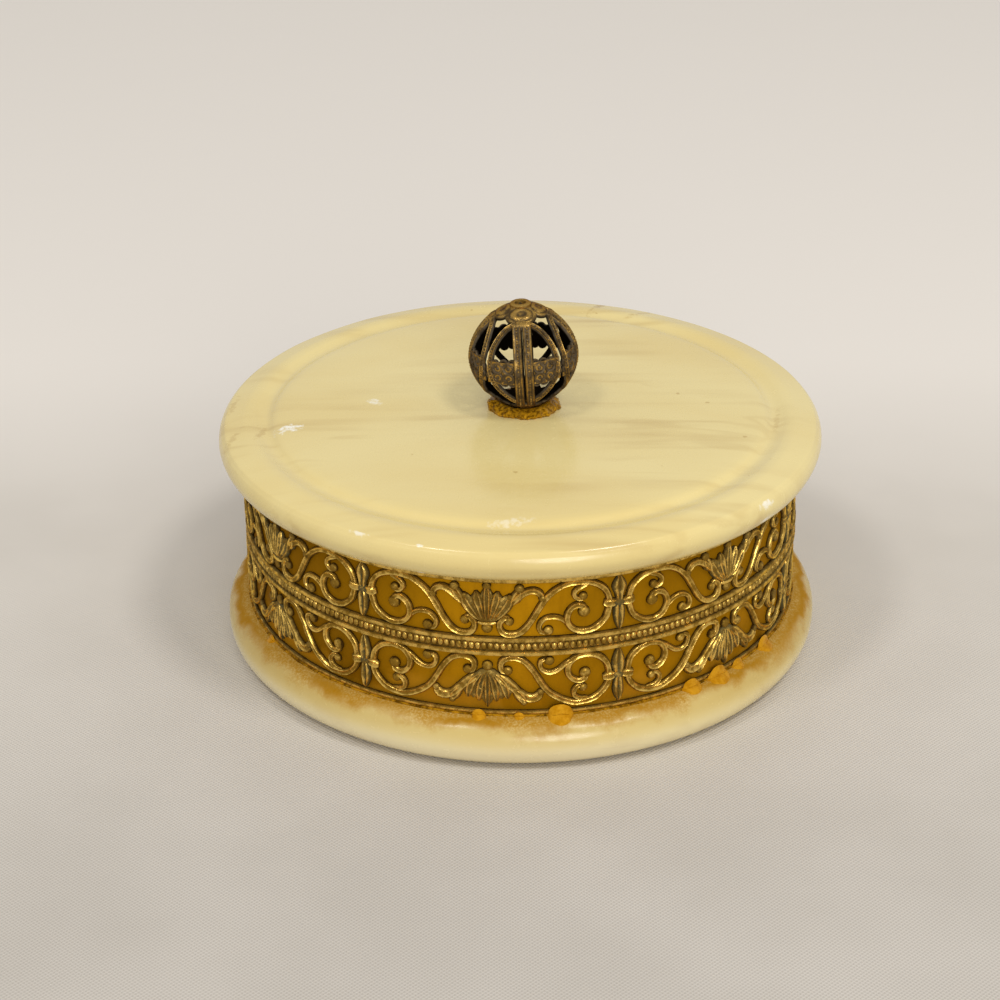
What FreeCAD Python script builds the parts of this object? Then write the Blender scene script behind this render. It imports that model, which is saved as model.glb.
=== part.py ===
# Alabaster trinket box: turned stone base and lid, gilt drum in a pierced scroll band, filigree ball knob.
# Millimetres. Z points up, the box stands on z = 0 about the Z axis, and its front faces -Y.
import FreeCAD
import Part
import Sketcher
import math
import os

DIMENSIONS = {
    # stone base
    "base_overhang": 4.65,
    "base_thickness": 10.5,
    "base_edge_round": 5.1,
    "floor_boss_height": 2.0,
    "floor_boss_clearance": 0.2,
    # rolled sheet sleeve and the cement that it stands in
    "sleeve_bore": 117.0,
    "sleeve_wall": 0.8,
    "sleeve_height": 31.7,
    "cement_bed": 0.3,
    # pierced scroll band round the sleeve
    "band_clearance": 0.05,
    "band_web": 0.7,
    "band_rail_relief": 0.3,
    "band_outer_rail": 1.3,
    "band_middle_rail": 4.4,
    "band_lid_clearance": 0.2,
    "band_seam": 0.4,
    # drops of cement squeezed out at the foot of the band
    "drop_width": 4.4,
    "drop_height": 3.0,
    "drop_reach": 1.9,
    # stone lid
    "lid_overhang": 4.65,
    "lid_rim_width": 6.5,
    "lid_rim_thickness": 8.6,
    "lid_upper_round": 4.8,
    "lid_lower_round": 3.6,
    "lid_spigot_depth": 3.0,
    "lid_spigot_clearance": 0.6,
    "lid_spigot_chamfer": 0.6,
    "panel_rise": 0.3,
    "panel_dome": 0.6,
    "groove_width": 5.0,
    "groove_depth": 0.9,
    # filigree ball knob
    "knob_diameter": 23.6,
    "knob_wall": 0.9,
    "knob_hole": 2.4,
    "knob_ring_diameter": 4.6,
    "knob_ring_rise": 0.3,
    "knob_slit": 0.5,
    # cement under the knob
    "knob_cement_bed": 0.3,
    "knob_cement_diameter": 16.4,
    "knob_cement_lip": 1.5,
    "knob_cement_height": 2.3,
    "knob_cement_clearance": 0.05,
    # one overrun for all cuts
    "overrun": 1.0,
}

BAND_REPEATS = 7
BAND_TURN = -7.0
KNOB_UNITS = 4
KNOB_LEAN = -3.0
FULL_TURN = 360.0
HALF_TURN = 180.0
EIGHTH_TURN = 45.0
MATCH_TOLERANCE_SHARE = 1e-5

# A rounding stays under these shares of the wall that it rounds.
BASE_ROUND_LIMIT_SHARE = 0.49
LAND_ROUND_LIMIT_SHARE = 0.9
LID_UPPER_ROUND_LIMIT_SHARE = 0.56
LID_LOWER_ROUND_LIMIT_SHARE = 0.42
CEMENT_LIP_SHARE = 0.55

# Windows of the scroll band: shares of a half repeat, from the palmette to the tied leaf, and of a row's
# height, from the middle rail to the outer rail. The punch for a window is a prism over its points.
BAND_WINDOW_SHARES = {
    "beside_palmette": [
        (0.185, 0.105), (0.24, 0.15), (0.30, 0.28), (0.345, 0.45), (0.39, 0.64), (0.385, 0.745),
        (0.33, 0.80), (0.27, 0.74), (0.21, 0.61), (0.17, 0.44), (0.20, 0.31), (0.17, 0.19),
    ],
    "under_long_scroll": [
        (0.255, 0.02), (0.365, 0.02), (0.36, 0.16), (0.37, 0.26), (0.365, 0.32), (0.33, 0.20),
        (0.295, 0.10),
    ],
    "under_tendril": [
        (0.415, 0.17), (0.43, 0.25), (0.45, 0.29), (0.48, 0.31), (0.52, 0.29), (0.555, 0.24),
        (0.585, 0.145), (0.615, 0.05), (0.49, 0.03), (0.495, 0.12), (0.465, 0.18),
    ],
    "beside_heart": [
        (0.41, 0.39), (0.48, 0.41), (0.54, 0.38), (0.575, 0.33), (0.585, 0.42), (0.615, 0.535),
        (0.64, 0.60), (0.625, 0.71), (0.63, 0.81), (0.655, 0.88), (0.61, 0.905), (0.555, 0.84),
        (0.495, 0.755), (0.445, 0.63), (0.41, 0.51),
    ],
    "inside_heart": [
        (0.76, 0.86), (0.84, 0.81), (0.89, 0.63), (0.89, 0.405), (0.85, 0.21), (0.775, 0.115),
        (0.695, 0.105), (0.635, 0.21), (0.625, 0.37), (0.67, 0.485), (0.70, 0.35), (0.75, 0.34),
        (0.775, 0.47), (0.75, 0.58), (0.765, 0.70), (0.72, 0.785),
    ],
    "over_leaf_arm": [
        (0.29, 0.97), (0.41, 0.98), (0.55, 0.98), (0.52, 0.915), (0.465, 0.825), (0.43, 0.74),
        (0.40, 0.84), (0.345, 0.90),
    ],
    "over_palmette": [
        (0.035, 0.97), (0.205, 0.98), (0.21, 0.875), (0.195, 0.76), (0.175, 0.82), (0.12, 0.825),
        (0.09, 0.885), (0.05, 0.875),
    ],
    "over_tied_leaf": [
        (0.81, 0.98), (0.97, 0.98), (0.955, 0.83), (0.945, 0.665), (0.915, 0.76), (0.87, 0.885),
    ],
    "under_tied_leaf": [
        (0.835, 0.02), (0.98, 0.02), (0.97, 0.225), (0.96, 0.37), (0.94, 0.355), (0.915, 0.225),
        (0.87, 0.115),
    ],
    "under_palmette": [
        (0.01, 0.025), (0.11, 0.025), (0.08, 0.115), (0.07, 0.22), (0.037, 0.195), (0.033, 0.105),
    ],
}

# Windows of one knob half: shares of the ball's radius, across and up from the middle of a unit.
KNOB_ARCH_WINDOW_SHARES = [
    (0.20, 0.78), (0.20, 0.30), (0.44, 0.27), (0.57, 0.30), (0.50, 0.45), (0.39, 0.60), (0.28, 0.73),
]
KNOB_GAP_WINDOW_SHARES = [
    (0.00, 0.35), (0.07, 0.50), (0.13, 0.69), (0.10, 0.83), (-0.10, 0.83), (-0.13, 0.69), (-0.07, 0.50),
]
KNOB_SLIT_TOP_SHARE = 0.72

# Cement drops: the angle from the front, in degrees, and the share of the full drop.
DROP_PLACES_AND_SHARES = [
    (-62.0, 0.5), (-8.5, 0.55), (6.5, 1.0), (33.0, 0.8), (40.0, 0.55), (46.0, 0.9), (57.0, 0.75),
    (128.0, 0.7), (196.0, 0.6), (251.0, 0.65),
]

# Radii and heights that follow from the driving sizes
BASE_TOP = "dims.base_thickness"
DRUM_FOOT = f"({BASE_TOP} + dims.cement_bed)"
LID_SEAT = f"({DRUM_FOOT} + dims.sleeve_height)"
SLEEVE_INNER = "(dims.sleeve_bore / 2)"
SLEEVE_OUTER = f"({SLEEVE_INNER} + dims.sleeve_wall)"
BAND_INNER = f"({SLEEVE_OUTER} + dims.band_clearance)"
BAND_WEB_OUTER = f"({BAND_INNER} + dims.band_web)"
BAND_RAIL_OUTER = f"({BAND_WEB_OUTER} + dims.band_rail_relief)"
BAND_HEIGHT = "(dims.sleeve_height - dims.band_lid_clearance)"
BAND_ROW = f"({BAND_HEIGHT} / 2 - dims.band_middle_rail / 2 - dims.band_outer_rail)"
BASE_RADIUS = f"({BAND_RAIL_OUTER} + dims.base_overhang)"
LID_RADIUS = f"({BAND_RAIL_OUTER} + dims.lid_overhang)"
LID_LAND = f"({LID_RADIUS} - dims.lid_rim_width)"
PANEL_RADIUS = f"({LID_LAND} - dims.groove_width)"
GROOVE_CHORD_SQUARED = "(dims.groove_width ^ 2 + dims.panel_rise ^ 2)"
GROOVE_ROUND = f"(({GROOVE_CHORD_SQUARED} / 4 + dims.groove_depth ^ 2) / dims.groove_depth / 2)"
PANEL_EDGE = "(dims.lid_rim_thickness + dims.panel_rise)"
PANEL_TOP = f"({PANEL_EDGE} + dims.panel_dome)"
KNOB_FOOT = f"({LID_SEAT} + {PANEL_TOP})"
KNOB_RADIUS = "(dims.knob_diameter / 2)"
KNOB_INNER = f"({KNOB_RADIUS} - dims.knob_wall)"
KNOB_CENTRE = f"({KNOB_FOOT} + dims.knob_cement_bed + {KNOB_RADIUS})"
KNOB_HOLE_RADIUS = "(dims.knob_hole / 2)"

doc = FreeCAD.newDocument("alabaster_trinket_box")


def make_sheet():
    sheet = doc.addObject("Spreadsheet::Sheet", "dims")
    for row, (alias, size) in enumerate(DIMENSIONS.items(), start=1):
        sheet.set(f"A{row}", alias)
        sheet.set(f"B{row}", str(size))
        sheet.setAlias(f"B{row}", alias)
    doc.recompute()
    return sheet


dims = make_sheet()


def size_of(expression):
    return float(dims.evalExpression(expression))


def origin_feature(body, role):
    return next(feature for feature in body.Origin.OriginFeatures if feature.Role == role)


def on_circle(radius, across):
    """The height at which a circle of that radius about the origin lies that far across."""
    return f"sqrt({radius} ^ 2 - {across} ^ 2)"


def bind(sketch, kind, geometry, point, expression):
    """Ties a sketch point's distance from the origin to an expression, or puts the point on the axis."""
    distance = size_of(expression)
    if distance == 0:
        axis = -2 if kind == "DistanceX" else -1
        sketch.addConstraint(Sketcher.Constraint("PointOnObject", geometry, point, axis))
        return
    ends = (-1, 1, geometry, point) if distance > 0 else (geometry, point, -1, 1)
    index = sketch.addConstraint(Sketcher.Constraint(kind, *ends, abs(distance)))
    sketch.setExpression(f"Constraints[{index}]", expression if distance > 0 else f"-({expression})")


def dome_centre(start, end):
    """The point of the sketch's vertical axis that is as far from one point as from the other."""
    return FreeCAD.Vector(0, (end.dot(end) - start.dot(start)) / (end.y - start.y) / 2, 0)


def hollow_centre(start, end, radius):
    """The centre of an arc of that radius between two points, on the right of the way from start to end."""
    chord = end - start
    right = FreeCAD.Vector(chord.y, -chord.x, 0).normalize()
    return (start + end) / 2 + right * math.sqrt(radius ** 2 - chord.Length ** 2 / 4)


def arc_between(start, end, centre):
    angles = [math.atan2(point.y - centre.y, point.x - centre.x) for point in (start, end)]
    if abs(angles[1] - angles[0]) > math.pi:
        angles[angles.index(min(angles))] += 2 * math.pi
    circle = Part.Circle(centre, FreeCAD.Vector(0, 0, 1), start.distanceToPoint(centre))
    return Part.ArcOfCircle(circle, min(angles), max(angles))


def draw_outline(sketch, corners, domes=(), hollows=None):
    """Draws a closed outline through corners given as expressions.

    The edges listed in domes are arcs about the axis. Those in hollows are hollow arcs, with their radius.
    """
    hollows = hollows or {}
    points = [FreeCAD.Vector(size_of(across), size_of(up), 0) for across, up in corners]
    edges = []
    for index, (across, up) in enumerate(corners):
        begin = points[index]
        end = points[(index + 1) % len(points)]
        if index in domes:
            shape = arc_between(begin, end, dome_centre(begin, end))
        elif index in hollows:
            shape = arc_between(begin, end, hollow_centre(begin, end, size_of(hollows[index])))
        else:
            shape = Part.LineSegment(begin, end)
        edge = sketch.addGeometry(shape)
        start = sketch.getPoint(edge, 1)
        first = 1 if start.distanceToPoint(begin) < start.distanceToPoint(end) else 2
        edges.append((edge, first, 3 - first))
        bind(sketch, "DistanceX", edge, first, across)
        bind(sketch, "DistanceY", edge, first, up)
        if index in domes:
            sketch.addConstraint(Sketcher.Constraint("PointOnObject", edge, 3, -2))
        elif index in hollows:
            radius = sketch.addConstraint(Sketcher.Constraint("Radius", edge, size_of(hollows[index])))
            sketch.setExpression(f"Constraints[{radius}]", hollows[index])
    for (edge, _, last), (following, first, _) in zip(edges, edges[1:] + edges[:1]):
        sketch.addConstraint(Sketcher.Constraint("Coincident", edge, last, following, first))


def sketch_on(body, name, role):
    sketch = body.newObject("Sketcher::SketchObject", name)
    sketch.AttachmentSupport = (origin_feature(body, role), [""])
    sketch.MapMode = "FlatFace"
    return sketch


def turned_body(label, corners, foot, domes=(), hollows=None):
    """A body turned about Z from an outline of radii and heights, standing at the height foot."""
    body = doc.addObject("PartDesign::Body", label)
    body.Label = label
    outline = sketch_on(body, f"{label}_outline", "XZ_Plane")
    draw_outline(outline, corners, domes, hollows)
    turning = body.newObject("PartDesign::Revolution", f"{label}_turning")
    turning.Profile = outline
    turning.ReferenceAxis = (outline, ["V_Axis"])
    turning.Angle = FULL_TURN
    body.setExpression("Placement.Base.z", foot)
    doc.recompute()
    return body


def round_edge(body, name, radius, height, rounding):
    """Rounds the circular edge of the body that lies at that radius and height."""
    base = body.Tip
    near = size_of(radius) * MATCH_TOLERANCE_SHARE
    names = []
    for number, edge in enumerate(base.Shape.Edges, start=1):
        if edge.Degenerated or not isinstance(edge.Curve, Part.Circle):
            continue
        off_radius = abs(edge.Curve.Radius - size_of(radius))
        off_height = abs(edge.Curve.Center.z - size_of(height))
        if off_radius < near and off_height < near:
            names.append(f"Edge{number}")
    fillet = body.newObject("PartDesign::Fillet", name)
    fillet.Base = (base, names)
    fillet.setExpression("Radius", rounding)
    doc.recompute()


def base_disc():
    radius = BASE_RADIUS
    boss = f"({SLEEVE_INNER} - dims.floor_boss_clearance)"
    floor = f"({BASE_TOP} + dims.floor_boss_height)"
    body = turned_body("base_disc", [
        ("0", "0"), (radius, "0"), (radius, BASE_TOP), (boss, BASE_TOP), (boss, floor), ("0", floor),
    ], "0")
    edge = f"{BASE_TOP} * {BASE_ROUND_LIMIT_SHARE}"
    land = f"({radius} - {boss}) * {LAND_ROUND_LIMIT_SHARE}"
    rounding = f"min(dims.base_edge_round; {edge}; {land})"
    round_edge(body, "base_lower_round", radius, "0", rounding)
    round_edge(body, "base_upper_round", radius, BASE_TOP, rounding)
    return body


def ring_corners(inner, outer, height):
    return [(inner, "0"), (outer, "0"), (outer, height), (inner, height)]


def wall_sleeve():
    wall = ring_corners(SLEEVE_INNER, SLEEVE_OUTER, "dims.sleeve_height")
    return turned_body("wall_sleeve", wall, DRUM_FOOT)


def seat_cement_ring():
    bed = ring_corners(SLEEVE_INNER, BAND_RAIL_OUTER, "dims.cement_bed")
    return turned_body("seat_cement_ring", bed, BASE_TOP)


def strip_sector():
    """One repeat of the plain strip with its raised rails, centred on the front, before it is pierced."""
    inner = size_of(BAND_INNER)
    web = size_of(BAND_WEB_OUTER)
    rail = size_of(BAND_RAIL_OUTER)
    height = size_of(BAND_HEIGHT)
    foot = size_of(DRUM_FOOT)
    outer_rail = size_of("dims.band_outer_rail")
    half_rail = size_of("dims.band_middle_rail") / 2
    outline = [(inner, 0), (rail, 0)]
    for low, high in ((outer_rail, height / 2 - half_rail), (height / 2 + half_rail, height - outer_rail)):
        outline += [(rail, low), (web, low), (web, high), (rail, high)]
    outline += [(rail, height), (inner, height), (inner, 0)]
    points = [FreeCAD.Vector(0, -radius, foot + up) for radius, up in outline]
    repeat = FULL_TURN / BAND_REPEATS
    section = Part.Face(Part.makePolygon(points))
    sector = section.revolve(FreeCAD.Vector(), FreeCAD.Vector(0, 0, 1), repeat)
    return turned_copy(sector, BAND_TURN - repeat / 2)


def window_punch(shares, side, row):
    """The punch for one window: side mirrors it about the palmette, row about the middle rail."""
    radius = size_of(BAND_RAIL_OUTER)
    half_repeat = math.pi * radius / BAND_REPEATS
    middle = size_of(DRUM_FOOT) + size_of(BAND_HEIGHT) / 2
    rail = size_of("dims.band_middle_rail") / 2
    overrun = size_of("dims.overrun")
    centre = sum(across for across, _ in shares) / len(shares)
    points = []
    for across, up in shares + shares[:1]:
        height = middle + row * (rail + up * size_of(BAND_ROW))
        points.append(FreeCAD.Vector(side * (across - centre) * half_repeat, -radius - overrun, height))
    depth = FreeCAD.Vector(0, radius + overrun - size_of(SLEEVE_INNER), 0)
    punch = Part.Face(Part.makePolygon(points)).extrude(depth)
    return turned_copy(punch, BAND_TURN + side * centre * HALF_TURN / BAND_REPEATS)


def turned_copy(shape, angle):
    copy = shape.copy()
    copy.rotate(FreeCAD.Vector(), FreeCAD.Vector(0, 0, 1), angle)
    return copy


def seam_punch():
    """The butt joint of the strip's two ends, at the back."""
    seam = size_of("dims.band_seam")
    overrun = size_of("dims.overrun")
    inner = size_of(SLEEVE_INNER)
    length = size_of(BAND_RAIL_OUTER) + overrun - inner
    height = size_of(BAND_HEIGHT) + 2 * overrun
    corner = FreeCAD.Vector(-seam / 2, inner, size_of(DRUM_FOOT) - overrun)
    return turned_copy(Part.makeBox(seam, length, height, corner), BAND_TURN)


def filigree_band():
    """The stamped strip: one pierced repeat, its copies round the drum, and the joint at the back."""
    punches = [window_punch(shares, side, row)
               for shares in BAND_WINDOW_SHARES.values() for side in (1, -1) for row in (1, -1)]
    sector = strip_sector().cut(punches)
    copies = [turned_copy(sector, FULL_TURN / BAND_REPEATS * repeat) for repeat in range(BAND_REPEATS)]
    band = doc.addObject("Part::Feature", "filigree_band")
    band.Label = "filigree_band"
    band.Shape = copies[0].multiFuse(copies[1:]).cut(seam_punch())
    return band


def seat_cement_drops(base):
    """Drops squeezed out at the foot of the band, each lying on the stone and against the band."""
    drops = []
    for number, (angle, share) in enumerate(DROP_PLACES_AND_SHARES, start=1):
        drop = doc.addObject("Part::Ellipsoid", f"cement_drop_{number}")
        drop.setExpression("Radius1", f"dims.drop_height * {share}")
        drop.setExpression("Radius2", f"dims.drop_width / 2 * {share}")
        drop.setExpression("Radius3", f"dims.drop_reach * {share}")
        turn = math.radians(angle)
        drop.setExpression("Placement.Base.x", f"{BAND_RAIL_OUTER} * {math.sin(turn)}")
        drop.setExpression("Placement.Base.y", f"{BAND_RAIL_OUTER} * {-math.cos(turn)}")
        drop.setExpression("Placement.Base.z", BASE_TOP)
        drop.Placement.Rotation = FreeCAD.Rotation(FreeCAD.Vector(0, 0, 1), angle)
        drops.append(drop)
    group = doc.addObject("Part::Compound", "cement_drop_group")
    group.Links = drops
    drum = doc.addObject("Part::Cylinder", "drop_keep_out")
    drum.setExpression("Radius", f"{BAND_RAIL_OUTER} + dims.band_clearance")
    drum.setExpression("Height", LID_SEAT)
    clear = doc.addObject("Part::Cut", "cement_drops_off_band")
    clear.Base = group
    clear.Tool = drum
    seated = doc.addObject("Part::Cut", "seat_cement_drops")
    seated.Label = "seat_cement_drops"
    seated.Base = clear
    seated.Tool = base
    doc.recompute()
    return seated


def lid_disc():
    spigot = f"({SLEEVE_INNER} - dims.lid_spigot_clearance)"
    chamfered = f"({spigot} - dims.lid_spigot_chamfer)"
    body = turned_body("lid_disc", [
        ("0", "-dims.lid_spigot_depth"),
        (chamfered, "-dims.lid_spigot_depth"),
        (spigot, "dims.lid_spigot_chamfer - dims.lid_spigot_depth"),
        (spigot, "0"),
        (LID_RADIUS, "0"),
        (LID_RADIUS, "dims.lid_rim_thickness"),
        (LID_LAND, "dims.lid_rim_thickness"),
        (PANEL_RADIUS, PANEL_EDGE),
        ("0", PANEL_TOP),
    ], LID_SEAT, domes=(7,), hollows={6: GROOVE_ROUND})
    thickness = "dims.lid_rim_thickness"
    rim = f"dims.lid_rim_width * {LAND_ROUND_LIMIT_SHARE}"
    upper = f"min(dims.lid_upper_round; {thickness} * {LID_UPPER_ROUND_LIMIT_SHARE}; {rim})"
    lower = f"min(dims.lid_lower_round; {thickness} * {LID_LOWER_ROUND_LIMIT_SHARE}; {rim})"
    round_edge(body, "lid_upper_round", LID_RADIUS, thickness, upper)
    round_edge(body, "lid_lower_round", LID_RADIUS, "0", lower)
    return body


def knob_shares(shares, side, up):
    return [(f"{KNOB_RADIUS} * {side * across}", f"{KNOB_RADIUS} * {up * rise}") for across, rise in shares]


def pierce_knob(body, label, up):
    """Cuts the windows and slits of one knob half, as one unit and its repeats round the ball."""
    arches = sketch_on(body, f"{label}_arches", "XZ_Plane")
    for side in (1, -1):
        draw_outline(arches, knob_shares(KNOB_ARCH_WINDOW_SHARES, side, up))
    slit = "dims.knob_slit / 2"
    slit_top = f"{KNOB_RADIUS} * {up * KNOB_SLIT_TOP_SHARE}"
    below = f"-{up} * dims.overrun"
    draw_outline(arches, [(f"-{slit}", below), (slit, below), (slit, slit_top), (f"-{slit}", slit_top)])
    gaps = sketch_on(body, f"{label}_gaps", "XZ_Plane")
    gaps.AttachmentOffset = FreeCAD.Placement(
        FreeCAD.Vector(), FreeCAD.Rotation(FreeCAD.Vector(0, 1, 0), EIGHTH_TURN))
    draw_outline(gaps, knob_shares(KNOB_GAP_WINDOW_SHARES, 1, up))
    pockets = []
    for sketch in (arches, gaps):
        pocket = body.newObject("PartDesign::Pocket", f"{sketch.Name}_pocket")
        pocket.Profile = sketch
        pocket.setExpression("Length", f"{KNOB_RADIUS} + dims.overrun")
        pockets.append(pocket)
    doc.recompute()
    pattern = body.newObject("PartDesign::PolarPattern", f"{label}_units")
    pattern.Originals = pockets
    pattern.Axis = (origin_feature(body, "Z_Axis"), [""])
    pattern.Angle = FULL_TURN
    pattern.Occurrences = KNOB_UNITS
    body.Tip = pattern


def knob_half(label, up):
    """A stamped half of the ball, its rim on the middle plane. The upper half has a ring round its hole."""
    hole = KNOB_HOLE_RADIUS
    inner_top = on_circle(KNOB_INNER, hole)
    if up > 0:
        ring = "(dims.knob_ring_diameter / 2)"
        crown = f"({KNOB_RADIUS} + dims.knob_ring_rise)"
        pole = [(ring, on_circle(KNOB_RADIUS, ring)), (ring, crown), (hole, crown)]
    else:
        pole = [(hole, on_circle(KNOB_RADIUS, hole))]
    outline = [(KNOB_RADIUS, "0"), *pole, (hole, inner_top), (KNOB_INNER, "0")]
    corners = [(across, rise if up > 0 else f"-{rise}") for across, rise in outline]
    body = turned_body(label, corners, KNOB_CENTRE, domes=(0, len(corners) - 2))
    pierce_knob(body, label, up)
    body.Placement.Rotation = FreeCAD.Rotation(FreeCAD.Vector(0, 1, 0), KNOB_LEAN)
    doc.recompute()
    return body


def knob_cement():
    """The collar of cement, cupped to the ball."""
    cup = f"({KNOB_RADIUS} + dims.knob_cement_clearance)"
    foot = "(dims.knob_cement_diameter / 2)"
    lip = f"({foot} - dims.knob_cement_lip)"
    middle = f"(dims.knob_cement_bed + {KNOB_RADIUS})"
    bed = "(dims.knob_cement_bed - dims.knob_cement_clearance)"
    shoulder = f"(dims.knob_cement_height * {CEMENT_LIP_SHARE})"
    touch = on_circle(cup, f"({middle} - dims.knob_cement_height)")
    return turned_body("knob_cement", [
        ("0", "0"), (foot, "0"), (lip, shoulder), (touch, "dims.knob_cement_height"), ("0", bed),
    ], KNOB_FOOT, domes=(3,))


def write_parts(pieces):
    os.makedirs("parts", exist_ok=True)
    doc.recompute()
    for thing in doc.Objects:
        if {"Invalid", "Error"} & set(thing.State):
            raise RuntimeError(f"{thing.Label} did not build")
    for piece in pieces:
        if piece.Shape.isNull() or not piece.Shape.isValid():
            raise RuntimeError(f"{piece.Label} is not a sound solid")
        piece.Shape.exportStep(f"parts/{piece.Label}.step")
        print(f"{piece.Label}: {len(piece.Shape.Solids)} solid(s), {piece.Shape.Volume:.1f} mm3")


base = base_disc()
write_parts([
    base,
    wall_sleeve(),
    seat_cement_ring(),
    filigree_band(),
    seat_cement_drops(base),
    lid_disc(),
    knob_half("knob_lower_shell", -1),
    knob_half("knob_upper_shell", 1),
    knob_cement(),
])
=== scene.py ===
"""Alabaster trinket box: turned stone, a gilt scroll band and an openwork knob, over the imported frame."""

import math

import bmesh
import bpy
from mathutils import Euler, Matrix, Vector, noise


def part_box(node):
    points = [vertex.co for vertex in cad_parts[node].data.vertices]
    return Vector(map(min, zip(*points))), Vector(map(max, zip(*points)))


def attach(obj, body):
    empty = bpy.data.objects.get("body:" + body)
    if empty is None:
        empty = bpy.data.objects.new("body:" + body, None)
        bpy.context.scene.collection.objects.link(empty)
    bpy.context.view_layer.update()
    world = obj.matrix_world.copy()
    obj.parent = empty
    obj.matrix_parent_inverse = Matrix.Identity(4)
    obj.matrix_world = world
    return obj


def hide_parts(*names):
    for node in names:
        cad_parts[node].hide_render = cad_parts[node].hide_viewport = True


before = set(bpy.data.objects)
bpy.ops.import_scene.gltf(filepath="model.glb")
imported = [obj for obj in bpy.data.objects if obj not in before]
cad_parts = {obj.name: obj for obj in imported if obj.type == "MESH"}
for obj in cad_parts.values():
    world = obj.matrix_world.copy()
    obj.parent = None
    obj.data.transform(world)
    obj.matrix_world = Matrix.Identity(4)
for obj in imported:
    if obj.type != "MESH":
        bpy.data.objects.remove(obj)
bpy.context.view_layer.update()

bl_info = {
    "name": "Alabaster trinket box",
    "version": (1, 0, 0),
    "blender": (4, 5, 0),
    "location": "View3D > Sidebar > Trinket box",
    "description": "Dresses the packed trinket box in stone, gilt filigree and cement",
    "category": "Add Mesh",
}

MM = 0.001

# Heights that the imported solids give, in millimetres
BASE_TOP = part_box("seat_cement_ring")[0].z / MM
DRUM_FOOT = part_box("wall_sleeve")[0].z / MM
LID_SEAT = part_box("wall_sleeve")[1].z / MM
FLOOR_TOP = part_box("base_disc")[1].z / MM
SPIGOT_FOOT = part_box("lid_disc")[0].z / MM
LID_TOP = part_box("lid_disc")[1].z / MM
BAND_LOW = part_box("filigree_band")[0].z / MM
BAND_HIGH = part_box("filigree_band")[1].z / MM
BAND_MIDDLE = (BAND_LOW + BAND_HIGH) / 2
CEMENT_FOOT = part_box("knob_cement")[0].z / MM
CEMENT_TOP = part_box("knob_cement")[1].z / MM

# Round pieces: steps of a turn and of a rounded edge, radii of the rings on a flat face, and broken edges
TURNS = 288
ROUND_STEPS = 14
FLAT_RINGS = (20, 45)
BOSS_EDGE = 0.3
SPIGOT_EDGE = 0.6
DRUM_EDGE = 0.15
SHARP_ANGLE = math.radians(48)

# Unevenness of the stone: rates of the fine and the broad waves, how far they reach out and how far up.
# It dies away from a radius inwards, and the base's two faces and the lid's seat stay level.
# All unevenness is drawn from the seed
SEED = 3.7
FINE_RATE = 0.09
BROAD_RATE = 0.02
FINE_REACH = 0.05
BROAD_REACH = 0.1
FINE_RISE = 0.04
CALM_RADIUS = 20
LEVEL_FOOT = 1.0
LEVEL_TOP = 0.5
LEVEL_SEAT = 0.3

# The lid's edge: its side, out from the stone's radius and up from the seat, and its land, up from the rim.
# Then the groove and the edge of the raised middle, out from the middle's radius and up from the rim
LID_SIDE = [
    (-4.9, 0.0), (-3.6, 0.25), (-2.2, 0.85), (-1.05, 1.8), (-0.3, 3.1), (0.0, 4.3), (-0.12, 5.4),
    (-0.5, 6.4),
]
LID_LAND = [
    (-0.9, -1.7), (-1.25, -1.28), (-1.6, -1.1), (-2.1, -0.97), (-3.0, -0.77), (-4.4, -0.46), (-5.8, -0.22),
]
LID_GROOVE = [
    (4.2, -0.28), (3.0, -0.6), (2.0, -0.86), (1.1, -0.9), (0.35, -0.62), (-0.4, -0.15), (-1.2, 0.13),
    (-2.1, 0.28),
]
LID_STEP = 0.25
CROWN_FOOT = 0.3
CROWN_RINGS = (0.95, 0.85, 0.7, 0.5, 0.3, 0.12)

# The stamped strip, drawn flat: x along it from a palmette's axis, y up from its mid-line, z out of it
STRIP_REPEATS = 7
STRIP_TURN = math.radians(-7.0)
STRIP_STEP = 0.62
HALF_REPEAT = 27.107
SEAM_GAP = 0.4
BALL_SEGMENTS = 12
BALL_HEIGHT = 0.86
BALL_SHINE = 0.64
EYE_SHINE = 0.7
LEAF_SPREAD = 1.14
UNEVEN = 0.11
UNEVEN_RATE = 0.8
BEADS_PER_REPEAT = 42
BEAD_SHAPE = (0.94, 1.45, 0.85)
BEAD_SHINE = 0.72
BEAD_DIRT = 0.25

# How relief, which the wear of the metal and the painted shade at its foot follow, grows with height, and
# how bars taper at their ends
RELIEF_POWER = 1.5
END_TAPER = (0.62, 0.92, 1.0)

# Steps of a plate's edge: share of its outline, share of its height
PLATE_STEPS = ((1.0, 0.0), (0.98, 0.7), (0.9, 1.0))
PLATE_RELIEF = 0.62

# Sections of the bars: share of the half width, share of the height
GROOVED_BAR = [
    (-1, 0), (-0.92, 0.6), (-0.55, 1.0), (-0.12, 0.76), (0.3, 0.74), (0.62, 0.9), (0.92, 0.55), (1, 0),
]
ROUND_BAR = [(-1, 0), (-0.88, 0.58), (-0.45, 0.93), (0, 1.0), (0.45, 0.93), (0.88, 0.58), (1, 0)]
LEAF_BAR = [(-1, 0), (-0.9, 0.6), (-0.5, 1.0), (0, 0.6), (0.5, 1.0), (0.9, 0.6), (1, 0)]
RAIL_BAR = [(-1, 0), (-1, 0.55), (-0.62, 0.95), (0, 1.0), (0.62, 0.95), (1, 0.55), (1, 0)]
RIB_BAR = [(-1, 0), (-1, 0.76), (-0.78, 1.0), (-0.46, 0.8), (0.46, 0.8), (0.78, 1.0), (1, 0.76), (1, 0)]
FLAT_BAR = [(-1, 0), (-1, 1), (1, 1), (1, 0)]
LACE_BAR = [(-1, 0), (-1, 1), (4.5, 1), (4.5, 0)]

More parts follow.
